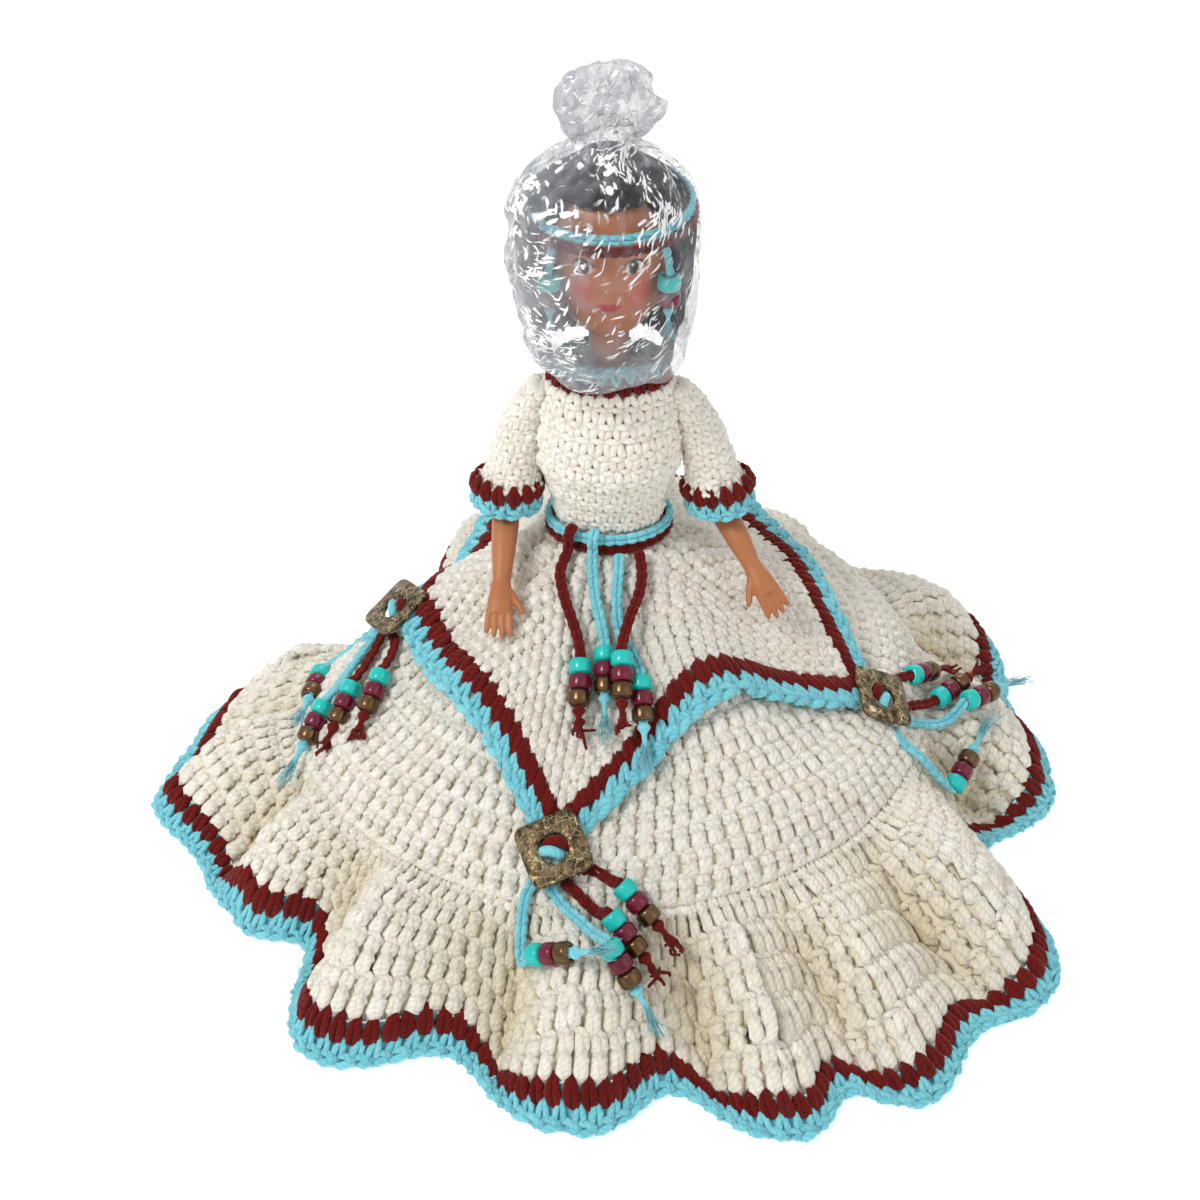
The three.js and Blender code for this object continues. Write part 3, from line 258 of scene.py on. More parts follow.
def clothMaterial(name, colour, hole):
    # the yarn's colour, with painted shade in the slit between two posts
    made, tree, skin = material(name, Roughness=0.95, Specular_IOR_Level=0.2)
    place = yarnPlace(tree)
    aside = maths(tree, "DIVIDE", maths(tree, "PINGPONG", place[0], 0.5), 0.22)
    down = maths(tree, "DIVIDE", maths(tree, "SUBTRACT", maths(tree, "FRACT", place[1]), 0.62), 0.36)
    far = maths(tree, "SQRT", maths(tree, "MULTIPLY_ADD", aside, aside, maths(tree, "MULTIPLY", down, down)))
    slitShade = maths(tree, "MULTIPLY", maths(tree, "SUBTRACT", 1.0, far, clamp=True), 2.2, clamp=True)
    loose = maths(tree, "MULTIPLY", maths(tree, "SUBTRACT", noise(tree, 70.0), 0.4), 5.0, clamp=True)
    slitShade = maths(tree, "MULTIPLY", slitShade, loose)
    dress(tree, skin, mixColour(tree, slitShade, colour, hole), noise(tree, 900.0, 3.0), 0.6, 0.6)
    return made


def vinylMaterial(name, colour, deep):
    made, tree, skin = material(name, Roughness=0.42, Specular_IOR_Level=0.4)
    dress(tree, skin, mixColour(tree, noise(tree, 40.0), deep, colour), noise(tree, 700.0), 0.08, 0.2)
    return made


def faceMaterial(name):
    # the painted face is kept as a colour at each point of the head
    made, tree, skin = material(name, Roughness=0.4, Specular_IOR_Level=0.4)
    dress(tree, skin, attribute(tree, "face", "Color"))
    return made


def beadMaterial(name, colour, deep, metal, rough):
    made, tree, skin = material(name, Metallic=metal, Roughness=rough, Specular_IOR_Level=0.25,
                                Coat_Weight=0.2, Coat_Roughness=0.06)
    dress(tree, skin, mixColour(tree, noise(tree, 260.0), deep, colour))
    return made


def plateMaterial(name):
    # hammered bronze: painted highlights as pale lines on the raised cracks, darker metal between
    made, tree, skin = material(name, Metallic=0.9, Roughness=0.34)
    fine = maths(tree, "MULTIPLY", cracks(tree, 700.0, 0.08), 0.5)
    lines = maths(tree, "MAXIMUM", cracks(tree, 330.0, 0.07), fine)
    patch = maths(tree, "MULTIPLY", maths(tree, "SUBTRACT", noise(tree, 210.0), 0.4), 4.0, clamp=True)
    # painted highlight: the crack lines, in patches, where the pale colour is laid
    glintCracks = maths(tree, "MULTIPLY", lines, patch, clamp=True)
    mottle = ramp(tree, noise(tree, 330.0, 3.0), 0.4, 0.2)
    ground = mixColour(tree, mottle, paint(52, 42, 28), paint(112, 94, 66))
    height = maths(tree, "MULTIPLY_ADD", noise(tree, 420.0), 0.8, glintCracks)
    dress(tree, skin, mixColour(tree, glintCracks, ground, paint(232, 214, 170)), height, 0.9, 0.6)
    return made


def hairMaterial(name):
    made, tree, skin = material(name, Roughness=0.42, Specular_IOR_Level=0.16)
    colour = mixColour(tree, attribute(tree, "tint"), paint(9, 8, 10), paint(26, 24, 27))
    dress(tree, skin, colour, noise(tree, 900.0), 0.3, 0.3)
    return made


glintSets = [  # scale, turn and stretch of each set of glints
    (2000.0, (0.2, 0.3, 0.3), 8.0), (1800.0, (0.4, 1.2, 0.5), 7.0),
    (2200.0, (0.9, 0.6, 1.1), 6.0), (1500.0, (0.5, 0.9, 0.7), 8.0),
]


def filmMaterial(name):
    # clear film: nearly empty where it faces the eye, hazy where it turns away, bunches or is creased,
    # with white glints
    made, tree, skin = material(name, Roughness=0.16, Specular_IOR_Level=0.8)
    made.surface_render_method = "BLENDED"
    x, _, z = separate(tree, objectPlace(tree))
    # the bunch on top, the creased right side and the foot, by place in metres
    bunch, foot = ramp(tree, z, 0.283, 0.012), ramp(tree, z, 0.236, -0.02)
    creased = ramp(tree, x, -0.004, -0.024)
    cloud, patch = noise(tree, 110.0), ramp(tree, noise(tree, 75.0), 0.42, 0.17)
    facet = maths(tree, "POWER", shards(tree, 420.0, (0.5, 0.3, 0.0), 1.8), 2.5)
    flash = ramp(tree, noise(tree, 42.0, 1.0), 0.6, 0.06)
    start = maths(tree, "MULTIPLY_ADD", patch, -0.04, maths(tree, "MULTIPLY_ADD", creased, -0.012, 0.99))
    start = maths(tree, "MULTIPLY_ADD", flash, -0.1, start)
    # painted highlights: white glints laid into colour and opacity where a set's cells pass the threshold
    glintMask = 0.0
    for scale, turn, longer in glintSets:
        level = maths(tree, "SUBTRACT", shards(tree, scale, turn, longer), start)
        glintMask = maths(tree, "MAXIMUM", glintMask, maths(tree, "MULTIPLY", level, 40.0, clamp=True))
    turned = node(tree, "ShaderNodeLayerWeight", {"Blend": 0.3}).outputs["Facing"]
    side = maths(tree, "MULTIPLY", turned, maths(tree, "MULTIPLY", cloud, 0.42))
    crumple = maths(tree, "MULTIPLY", bunch, maths(tree, "MULTIPLY_ADD", facet, 0.34, 0.13))
    footed = maths(tree, "MULTIPLY_ADD", foot, 0.42, 0.03)
    dull = maths(tree, "MULTIPLY", cloud, maths(tree, "MULTIPLY_ADD", creased, 0.42, footed))
    dull = maths(tree, "MULTIPLY_ADD", facet, 0.06, dull)
    haze = maths(tree, "ADD", maths(tree, "ADD", side, crumple), dull, clamp=True)
    tree.links.new(maths(tree, "MULTIPLY_ADD", glintMask, 0.8, haze, clamp=True), skin.inputs["Alpha"])
    height = maths(tree, "MULTIPLY_ADD", noise(tree, 160.0), 1.2, facet)
    # painted glints are white, the rest is the film's grey haze
    dress(tree, skin, mixColour(tree, glintMask, (0.5, 0.52, 0.56, 1), (1, 1, 1, 1)), height, 1.0, 1.2)
    return made


# each yarn's colour and its darker Deep colour, used for random tone and for painted shade
yarns = {
    "cream": yarnMaterial("creamYarn", paint(253, 249, 240), paint(224, 210, 178), 0.4),
    "red": yarnMaterial("redYarn", paint(116, 26, 21), paint(52, 8, 8), 0.1),
    "blue": yarnMaterial("blueYarn", paint(138, 220, 232), paint(74, 166, 190), 0.25),
}
# the second colour is painted shade where the backing shows in the slits, darkest on the open ruffle
creamCloth = clothMaterial("creamCloth", paint(244, 237, 220), paint(170, 154, 122))
openCloth = clothMaterial("openCloth", paint(240, 231, 210), paint(92, 80, 62))
tanVinyl = vinylMaterial("tanVinyl", paint(184, 118, 76), paint(170, 104, 64))
paintedFace = faceMaterial("paintedFace")
blackHair = hairMaterial("blackHair")
bronzePlate = plateMaterial("bronzePlate")
clearFilm = filmMaterial("clearFilm")
beadFinish = {
    "turquoise": beadMaterial("turquoiseBead", paint(34, 206, 196), paint(14, 180, 174), 0.0, 0.2),
    "burgundy": beadMaterial("burgundyBead", paint(124, 16, 50), paint(84, 6, 32), 0.0, 0.18),
    "bronze": beadMaterial("bronzeBead", paint(112, 84, 52), paint(62, 46, 28), 0.85, 0.26),
}
print("materials mixed")

# mesh helpers: a shape is points, loops, face sizes, loop uv and a tint for each point

yarnSides, clothThick = 5, 0.8


def hump(x, middle, width):
    return np.exp(-(((x - middle) / width) ** 2))


def unit(v):
    v = np.asarray(v, float)
    return v / np.maximum(np.linalg.norm(v, axis=-1, keepdims=True), 1e-9)


def tubes(paths, radii, ups, sides=yarnSides, shares=None):
    # an oval carried along each path: point = path + radius * (cos * across + sin * up), with flat ends
    count, rings = paths.shape[:2]
    along = unit(np.gradient(paths, axis=1))
    across = unit(np.cross(along, ups))
    up = np.cross(across, along)
    turn = 2 * np.pi * np.arange(sides) / sides
    flat = np.ones(rings) if shares is None else np.asarray(shares, float)
    rise = np.sin(turn)[:, None] * up[:, :, None] * flat[None, :, None, None]
    ring = np.cos(turn)[:, None] * across[:, :, None] + rise
    points = paths[:, :, None] + np.broadcast_to(radii, paths.shape[:2])[:, :, None, None] * ring
    index = np.arange(count * rings * sides).reshape(count, rings, sides)
    nextSide = np.roll(index, -1, axis=2)
    quads = np.stack([index[:, :-1], index[:, 1:], nextSide[:, 1:], nextSide[:, :-1]], -1).reshape(-1, 4)
    ends = np.concatenate([index[:, 0], index[:, -1, ::-1]])
    steps = np.linalg.norm(np.diff(paths, axis=1), axis=-1)
    far = np.concatenate([np.zeros((count, 1)), np.cumsum(steps, axis=1)], 1) + 20 * rng.random((count, 1))
    u = np.stack([far[:, :-1], far[:, 1:], far[:, 1:], far[:, :-1]], -1)
    u = np.broadcast_to(u[:, :, None, :], (count, rings - 1, sides, 4))
    low, high = np.arange(sides) / sides, (np.arange(sides) + 1) / sides
    v = np.broadcast_to(np.stack([low, low, high, high], -1), u.shape)
    uv = np.concatenate([np.stack([u, v], -1).reshape(-1, 2), np.zeros((ends.size, 2))])
    sizes = np.concatenate([np.full(len(quads), 4), np.full(len(ends), sides)])
    tint = np.repeat(rng.random(count), rings * sides)
    loops = np.concatenate([quads.ravel(), ends.ravel()])
    return {"points": points.reshape(-1, 3), "loops": loops, "sizes": sizes, "uv": uv, "tint": tint}


def gridShape(points, closedDown=False, capped=False, scale=(1.0, 1.0)):
    # faces between the neighbours of a grid of points that closes round its columns
    rows, columns = points.shape[:2]
    index = np.arange(rows * columns).reshape(rows, columns)
    lower = np.roll(index, -1, axis=0) if closedDown else index[1:]
    upper = index if closedDown else index[:-1]
    corners = [upper, lower, np.roll(lower, -1, axis=1), np.roll(upper, -1, axis=1)]
    quads = np.stack(corners, -1).reshape(-1, 4)
    u, v = np.arange(columns) * scale[0], np.arange(len(upper)) * scale[1]
    us = np.stack([u, u, u + scale[0], u + scale[0]], -1)[None]
    vs = np.stack([v, v + scale[1], v + scale[1], v], -1)[:, None]
    uv = np.stack(np.broadcast_arrays(us, vs), -1).reshape(-1, 2)
    loops, sizes = quads.ravel(), np.full(len(quads), 4)
    if capped:
        loops = np.concatenate([loops, index[0], index[-1, ::-1]])
        sizes = np.concatenate([sizes, [columns, columns]])
        uv = np.concatenate([uv, np.zeros((2 * columns, 2))])
    tint = np.full(rows * columns, 0.5)
    return {"points": points.reshape(-1, 3), "loops": loops, "sizes": sizes, "uv": uv, "tint": tint}


def joinShapes(shapes):
    shift = np.cumsum([0] + [len(s["points"]) for s in shapes[:-1]])
    joined = {key: np.concatenate([s[key] for s in shapes]) for key in ("points", "sizes", "uv", "tint")}
    joined["loops"] = np.concatenate([s["loops"] + k for s, k in zip(shapes, shift)])
    return joined


def addPiece(name, shape, finish, body, slot, *nodes):
    mesh = bpy.data.meshes.new(name)
    mesh.vertices.add(len(shape["points"]))
    mesh.vertices.foreach_set("co", (shape["points"] * mm).astype(np.float32).ravel())
    mesh.loops.add(len(shape["loops"]))
    mesh.loops.foreach_set("vertex_index", shape["loops"].astype(np.int32))
    mesh.polygons.add(len(shape["sizes"]))
    starts = np.concatenate([[0], np.cumsum(shape["sizes"])[:-1]])
    mesh.polygons.foreach_set("loop_start", starts.astype(np.int32))
    mesh.polygons.foreach_set("use_smooth", np.ones(len(shape["sizes"]), bool))
    mesh.uv_layers.new(name="yarn").data.foreach_set("uv", shape["uv"].astype(np.float32).ravel())
    mesh.attributes.new("tint", "FLOAT", "POINT").data.foreach_set("value", shape["tint"].astype(np.float32))
    mesh.update(calc_edges=True)
    mesh.materials.append(finish)
    piece = link(bpy.data.objects.new(name, mesh))
    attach(piece, body)
    if nodes:
        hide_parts(*nodes)
    return piece


def thicken(piece, thick):
    made = piece.modifiers.new("thickness", "SOLIDIFY")
    made.thickness, made.offset = thick * mm, -1.0


def yarnPiece(name, shape, colour, body, *nodes):
    return addPiece(name, shape, yarns[colour], body, colour + "_yarn", *nodes)


def clothPiece(name, shape, finish, body, cadNode):
    piece = addPiece(name, shape, finish, body, "cream_yarn", cadNode)
    thicken(piece, clothThick)
    return piece


def oneTube(path, radii, up, sides, shares=None):
    return tubes(path[None], radii, np.broadcast_to(up, path.shape)[None], sides, shares)


def refinish(name, finish):
    slots = bpy.data.objects[name].data.materials
    slots.clear()
    slots.append(finish)


def outlineAt(stations, height):
    # smooth curve through the rows of a table, whose first column is the height
    table = np.array(stations, float)
    h, values = table[:, 0], table[:, 1:]
    slope = np.gradient(values, axis=0)
    slope[1:-1] = (values[2:] - values[:-2]) / (h[2:] - h[:-2])[:, None]
    slope[0] = (values[1] - values[0]) / (h[1] - h[0])
    slope[-1] = (values[-1] - values[-2]) / (h[-1] - h[-2])
    height = np.clip(height, h[0], h[-1])
    k = np.clip(np.searchsorted(h, height, side="right") - 1, 0, len(h) - 2)
    step = (h[k + 1] - h[k])[..., None]
    t = (height - h[k])[..., None] / step
    square, cube = t * t, t * t * t
    result = (2 * cube - 3 * square + 1) * values[k] + (cube - 2 * square + t) * step * slope[k]
    result = result + (3 * square - 2 * cube) * values[k + 1] + (cube - square) * step * slope[k + 1]
    return np.moveaxis(result, -1, 0)


def ovalPoint(stations, base, turn, height, extra=0.0):
    turn, height = np.broadcast_arrays(np.asarray(turn, float), np.asarray(height, float))
    wide, deep, middle = outlineAt(stations, height)
    t = np.radians(turn)
    return np.stack([(wide + extra) * np.sin(t), middle - (deep + extra) * np.cos(t), base + height], -1)


def smoothPath(points, count):
    # points at even steps along a smooth curve through a few
    p = np.array(points, float)
    far = np.concatenate([[0], np.cumsum(np.linalg.norm(np.diff(p, axis=0), axis=1))])
    fine = outlineAt(np.column_stack([far, p]), np.linspace(0, far[-1], 8 * count)).T
    run = np.concatenate([[0], np.cumsum(np.linalg.norm(np.diff(fine, axis=0), axis=1))])
    even = np.linspace(0, run[-1], count)
    return np.stack([np.interp(even, run, fine[:, k]) for k in range(3)], -1)


# cloth surfaces: turn is degrees round the doll from its front, towards +X

seamGap = 0.3
clothTilt = math.atan2(72.0, 112.8)
skirtSet = {
    "top": 115.0, "waist": 25.2, "seam": 138.0, "meanSeam": 0.95, "seamHeight": 43.0, "bulge": 5.0,
    "domes": 6, "domeRise": 4.5, "puff": 4.2, "puffAt": 0.86, "puffWide": 0.1,
    "hemTop": 3.0, "sweep": 1.5, "band": 5.1, "pinch": 1.4, "fullFold": 26.0, "foldRise": 25.0,
    "foldLift": 0.25, "foldEase": 0.18, "crease": 1.7, "lap": 0.7, "under": 1.2,
    "tuck": -118.0, "tuckSpan": 50.0, "tuckShare": 0.325,
    "crests": [(-150, 155, 8), (-122, 122, 8), (-97, 182, 2), (-79, 202, 6), (-56, 184, 24), (-34, 206, 24),
               (-4, 206, 23), (18.5, 219, 14), (31.5, 225, 11), (50.5, 223, 37), (83, 196, 10), (113, 199, 5),
               (143, 166, 8), (178, 207, 20)],
    "tierRows": 15, "tierFrom": 5, "stitch": 6.6, "ruffleRows": 5, "ruffleStitches": 186, "edgeStitch": 6.6,
}
overSet = {
    "waist": 22.4, "band": 6.4, "rise": 6.4, "rows": 13, "stitch": 6.4, "edgeStitch": 7.0, "least": 120.0,
    "plateInset": 2.5,
    "corners": [("front", -9.5, 127.5, 9, 3), ("left", 70, 122, -16, 10),
                ("back", 178, 118, -12, 14), ("right", 276, 92, -6, 5)],
}


def polar(turn, radius, height):
    t = np.radians(turn)
    return np.stack(np.broadcast_arrays(radius * np.sin(t), -radius * np.cos(t), height), -1)


def foldAt(turn):
    # between two crests the hem falls back along a pinched sine, and the cloth drops to a crease
    s = skirtSet
    crest, reach, depth = np.array(s["crests"], float).T
    turned = (turn - crest[0]) % 360 + crest[0]
    k = np.searchsorted(crest, turned, side="right") - 1
    gap = (np.append(crest[1:], crest[0] + 360) - crest)[k]
    share = (turned - crest[k]) / gap
    dip = np.abs(np.sin(np.pi * share)) ** (2 * s["pinch"])
    far = reach[k] + (np.roll(reach, -1)[k] - reach[k]) * share - depth[k] * dip
    crease = np.minimum(share / s["lap"], (1 - share) / (1 - s["lap"])) ** s["crease"]
    return far, (1 - 2 * crease) * np.minimum(1, gap / s["fullFold"])


def seamAt(turn):
    s = skirtSet
    away = np.minimum(np.abs((turn - s["tuck"] + 180) % 360 - 180) / s["tuckSpan"], 1)
    return s["seam"] * (1 - s["tuckShare"] * np.cos(np.pi / 2 * away) ** 2)


def skirtHeight(turn, radius):
    # a straight fall with soft domes down to the seam, then a sweep to the hem that rises at each fold
    s = skirtSet
    seam = seamAt(turn)
    share = (radius - s["waist"]) / (np.where(radius < s["waist"], s["seam"], seam) - s["waist"])
    dome = s["bulge"] - s["domeRise"] * np.cos(np.radians(s["domes"] * turn))
    upper = s["top"] - (s["top"] - s["seamHeight"]) * share + dome * np.sin(np.pi * np.clip(share, 0, 1))
    reach, wave = foldAt(turn)
    down = np.clip((radius - seam) / (reach - seam), 0, 1)
    lower = s["hemTop"] + (s["seamHeight"] - s["hemTop"]) * (1 - down) ** s["sweep"]
    rise = s["foldRise"] * (s["foldLift"] + (1 - s["foldLift"]) * wave)
    lower = lower + rise * np.sin(np.pi * down) * (1 - s["foldEase"] * down)
    return np.where(radius <= seam, upper, lower)


def skirtPoint(turn, radius, height=0.0):
    out = polar(turn, math.sin(clothTilt), math.cos(clothTilt))
    return polar(turn, radius, skirtHeight(turn, radius)) + height * out


def tierFace(turn, down):
    # with a roll of cloth above the seam
    s = skirtSet
    down = np.clip(down, 0, 1)
    roll = s["puff"] * (hump(down, s["puffAt"], s["puffWide"]) - 0.1 * down ** 12)
    return skirtPoint(turn, s["waist"] + (seamAt(turn) - s["waist"]) * down, roll[..., None])


def hemReach(turn, bands):
    return foldAt(turn)[0] - bands * (skirtSet["band"] + seamGap)


def ruffleFace(turn, down):
    # starts a little way under the tier
    start = seamAt(turn) - skirtSet["under"]
    return skirtPoint(turn, start + (hemReach(turn, 2) - seamGap - start) * np.clip(down, 0, 1))


def bandFace(edge, point, inner, outer):
    # a round of trim between two lines along an edge
    def face(turn, down):
        start = edge(turn, inner)
        return point(turn, start + (edge(turn, outer) - start) * np.clip(down, -0.8, 1.0))
    return face


def hemFace(inner, outer):
    return bandFace(hemReach, skirtPoint, inner, outer)


def sideAt(turn):
    # straight chord from corner to corner in plan, bowed and lifted between them
    turnC, reach, bow, lift = np.array([c[1:] for c in overSet["corners"]], float).T
    turned = (turn - turnC[0]) % 360 + turnC[0]
    k = np.searchsorted(turnC, turned, side="right") - 1
    nextTurn = np.append(turnC[1:], turnC[0] + 360)
    a, b = polar(turnC, reach, 0.0)[k], polar(nextTurn, np.roll(reach, -1), 0.0)[k]
    way, chord = polar(turned, 1.0, 0.0), b - a
    cross = lambda p, q: p[..., 0] * q[..., 1] - p[..., 1] * q[..., 0]
    far = cross(a, chord) / cross(way, chord)
    arch = np.sin(np.pi * (turned - turnC[k]) / (nextTurn[k] - turnC[k]))
    return far - bow[k] * arch, lift[k] * arch ** 2


def overPoint(turn, radius):
    reach, lift = sideAt(turn)
    rise = overSet["rise"] + lift * np.minimum(radius / reach, 1) ** 4
    return polar(turn, radius, skirtHeight(turn, radius) + rise)


def overEdge(turn, bands):
    return sideAt(turn)[0] - bands * (overSet["band"] + 2 * seamGap)


def overFace(turn, down):
    start = overSet["waist"]
    return overPoint(turn, start + (overEdge(turn, 2) - 2 * seamGap - start) * np.clip(down, 0, 1))


def overBand(inner, outer):
    return bandFace(overEdge, overPoint, inner, outer)


def cornerAxes(turn):
    # sideways along the cloth, outwards and level, and square to the cloth
    outwards = polar(turn, 1.0, 0.0)
    sideways = np.array([-outwards[1], outwards[0], 0.0])
    return sideways, outwards, outwards * math.sin(clothTilt) + np.array([0, 0, math.cos(clothTilt)])


bodiceSet = {
    "waist": 128.0, "top": 67.0, "under": 4.0, "ridge": 0.5, "rows": 12, "stitch": 6.2,
    "collarBand": 4.4, "collarLean": 1.6, "collarStitch": 6.0,
    "stations": [(-4, 21.9, 17.8, 0), (8, 22.6, 18.4, -0.3), (20, 25.2, 20.6, -1.2), (34, 28.9, 23.2, -2.3),
                 (46, 28.6, 21.6, -1.6), (56, 28.1, 19, -0.2), (62, 27.2, 17.8, 0.2), (67, 24, 17, 0.4)],
}


def bodiceFace(turn, down):
    s = bodiceSet
    down = np.clip(down, 0, 1)
    ridges = s["ridge"] * np.cos(np.pi * s["rows"] * down)  # one to every two rows
    return ovalPoint(s["stations"], s["waist"], turn, s["top"] - (s["top"] + s["under"]) * down, ridges)


def collarFace(order):
    # climbs from the bodice's top edge, leaning in
    s = bodiceSet

    def face(turn, down):
        rise = s["collarBand"] * np.clip(down, -0.8, 1) + order * (s["collarBand"] + seamGap) + seamGap
        lean = -s["collarLean"] * rise / s["collarBand"]
        flat = ovalPoint(s["stations"], s["waist"], -turn, np.minimum(s["top"], s["top"] + rise), 0.0)
        out = polar(-turn, np.minimum(lean, 0.0), np.maximum(rise, 0.0))
        return flat + out
    return face


def beltPoint(turn, height, extra):
    return ovalPoint(bodiceSet["stations"], bodiceSet["waist"], turn, height, extra)


# cords, with their beads and frayed ends

beadSet = {
    "radius": 4.4, "hole": 2.3, "length": 6.3, "round": 1.7, "colours": ["turquoise", "burgundy", "bronze"],
}
cordSet = {"pitch": 4.5, "width": 1.0, "thick": 1.25, "diameter": 4.4, "knot": 4.0, "end": 6.0, "fray": 13.0}
# wisps of a frayed end, their length for the cord's, spread, thickness and curl
fraySet = {"blue": (34, 1.3, 0.15, 0.24, 0.9), "red": (7, 0.9, 0.26, 1.0, 1.8)}
# the straight run through the beads, and how far it keeps off the cloth
runSet = {"strand": 28.9, "belt": 22.9, "clear": 5.4}
strandRoutes = [
    ("blue_1", "blue", [(-6, 5.5), (-8.6, 11), (-9, 18), (-7.5, 25.5), (-3, 31.5)], 14),
    ("blue_2", "blue", [(-0.8, 6.2), (5, 11.5), (12.5, 18.5), (19.5, 24), (25, 28.5)], 34),
    ("red_1", "red", [(4.4, 4.6), (9.5, 7.2), (15, 10.6), (19.5, 13.6), (23.5, 16.4)], 30),
    ("red_2", "red", [(8.8, 1), (13.5, -0.4), (18, 0.4), (22, 2), (25.5, 4)], 28),
]
beltTails = [
    ("red_1", "red", True,
     [(-19.4, -29, 0), (-19, -35, 0), (-17.4, -42, 0), (-14.4, -50, 0), (-12, -57, 0), (-11, -63, 0)], -2),
    ("blue_1", "blue", True,
     [(-6.6, -29, 0), (-6, -36, 0), (-4.8, -43, 0), (-3, -50.5, 0), (-1.6, -58, 0)], 0),
    ("blue_2", "blue", False,
     [(4, -28.5, 0), (3.4, -36, 0), (3.2, -45, 0), (4.6, -53, 0), (8.6, -61, 0), (12, -69, 0)], 4),
    ("red_2", "red", False,
     [(13, -28.5, 0), (13, -35, 0.5), (11.4, -43, 2.5), (8.6, -51, 5.5), (6.2, -59, 7), (5, -65, 7.6)], 0),
]


def chain(path, up, s=cordSet, closed=False):
    # each link is two strands that bow apart from the line and close again under the next link
    steps = np.linalg.norm(np.diff(path, axis=0), axis=1)
    far = np.concatenate([[0], np.cumsum(steps)])
    count = max(int(round(far[-1] / s["pitch"])), 2)
    pitch = far[-1] / count
    at = np.arange(count)[:, None] * pitch + np.array([-0.15, 0.2, 0.55, 0.88, 1.22]) * pitch
    at = at % far[-1] if closed else np.clip(at, 0, far[-1])
    where = lambda values: np.stack([np.interp(at, far, values[:, k]) for k in range(3)], -1)
    along = np.gradient(path, axis=0)
    if closed:
        along[0] = along[-1] = path[1] - path[-2]
    upAt = where(np.broadcast_to(up, path.shape))
    side = unit(np.cross(where(along), upAt))
    lift = np.array([-0.7, 0.3, 0.6, 0.3, -0.6])[:, None] * s["thick"] * unit(upAt)
    bow = np.array([0.15, 1.0, 1.12, 0.9, 0.1])[:, None] * s["width"]
    paths = np.concatenate([where(path) + sign * bow * side + lift for sign in (-1, 1)])
    return tubes(paths, s["thick"] * np.array([0.8, 1, 1.05, 1, 0.75]), np.concatenate([upAt, upAt]))


def barrel(centre, along, s=beadSet):
    # a rounded bead: its profile, round the bulge and back through the hole, turned about the cord
    half, soft = s["length"] / 2 - 0.1, s["round"]
    turn = np.linspace(0, np.pi / 2, 5)
    top = np.stack([s["radius"] - soft + soft * np.sin(turn), half - soft + soft * np.cos(turn)], -1)
    bottom = top[::-1] * [1, -1]
    bore = s["hole"]
    hole = np.array([(bore, -half + 0.3), (bore, 0), (bore, half - 0.3), (bore + 0.4, half)])
    profile = np.concatenate([top, bottom, [(bore + 0.4, -half)], hole])
    across = unit(np.cross(along, [0.3, 0.2, 0.9]))
    other = np.cross(along, across)
    angle = 2 * np.pi * np.arange(26) / 26
    ring = np.cos(angle)[:, None] * across + np.sin(angle)[:, None] * other
    points = centre + profile[:, None, :1] * ring + profile[:, None, 1:] * along
    return gridShape(points, closedDown=True)


def frayed(end, along, up, count, length, spread, thick, curled):
    # loose plies that leave the knot together, part and curl
    way = unit(along + rng.normal(0, spread, (count, 3)) * [1, 1, 0.25])
    t = np.linspace(0, 1, 12)[:, None]
    reach = (length * rng.uniform(0.5, 1.0, count))[:, None, None]
    curl = rng.normal(0, 1, (count, 1, 3)) * [1, 1, 0.3]
    phase = rng.uniform(0, 6.3, (count, 1, 1))
    paths = end + reach * t * way[:, None] + curl * curled * t * np.sin(7.0 * t + phase) + 0.6 * t * up
    return tubes(paths, thick * np.linspace(1, 0.55, 12), np.broadcast_to(up, paths.shape), 4)


def knotted(end, along, up, thick):
    # the knot's round bulge, then the short end below it
    t = np.linspace(0, 1, 15)
    path = end + (t * (cordSet["knot"] + cordSet["end"]))[:, None] * along
    return oneTube(path, thick * (1.0 + 1.2 * hump(t, 0.2, 0.16) - 0.3 * t), up, 10)


def cordPiece(name, colour, route, along, up, beads, body, slotName, nodes, start=0.2, size=cordSet):
    # the chain follows the route and runs straight on through the beads to a knot and a frayed end
    run = start + beads * beadSet["length"]
    end = route[-1]
    onward = [end + along * d for d in np.linspace(2.0, run, 6)]
    path = smoothPath(list(route) + onward, 90)
    shape = joinShapes([chain(path, up, size), knotted(path[-1], along, up, size["thick"])])
    count, longer, spread, thick, curled = fraySet[colour]
    wisps = frayed(path[-1] + along * 5, along, up, count, size["fray"] * longer, spread, thick, curled)
    cord = addPiece(name + "Cord", shape, yarns[colour], body, slotName, *nodes)
    carried = [addPiece(name + "Fray", wisps, yarns[colour], body, slotName)]
    for k in range(beads):
        tone = beadSet["colours"][k]
        centre = end + along * (start + (k + 0.5) * beadSet["length"])
        bead = addPiece(f"{name}Bead{k + 1}", barrel(centre, along), beadFinish[tone], body, tone + "_bead")
        carried.append(bead)


def raisedRun(points, samples):
    # lifts the end of a route until the straight run after it clears the cloth
    level = np.linspace(points[-1][2], samples[-1][2], len(samples))
    rise = max(0.0, float((np.array(samples)[:, 2] - level).max()))
    points[-1] = points[-1] + np.array([0, 0, rise])
    return unit(samples[-1] + np.array([0, 0, rise]) - points[-1])


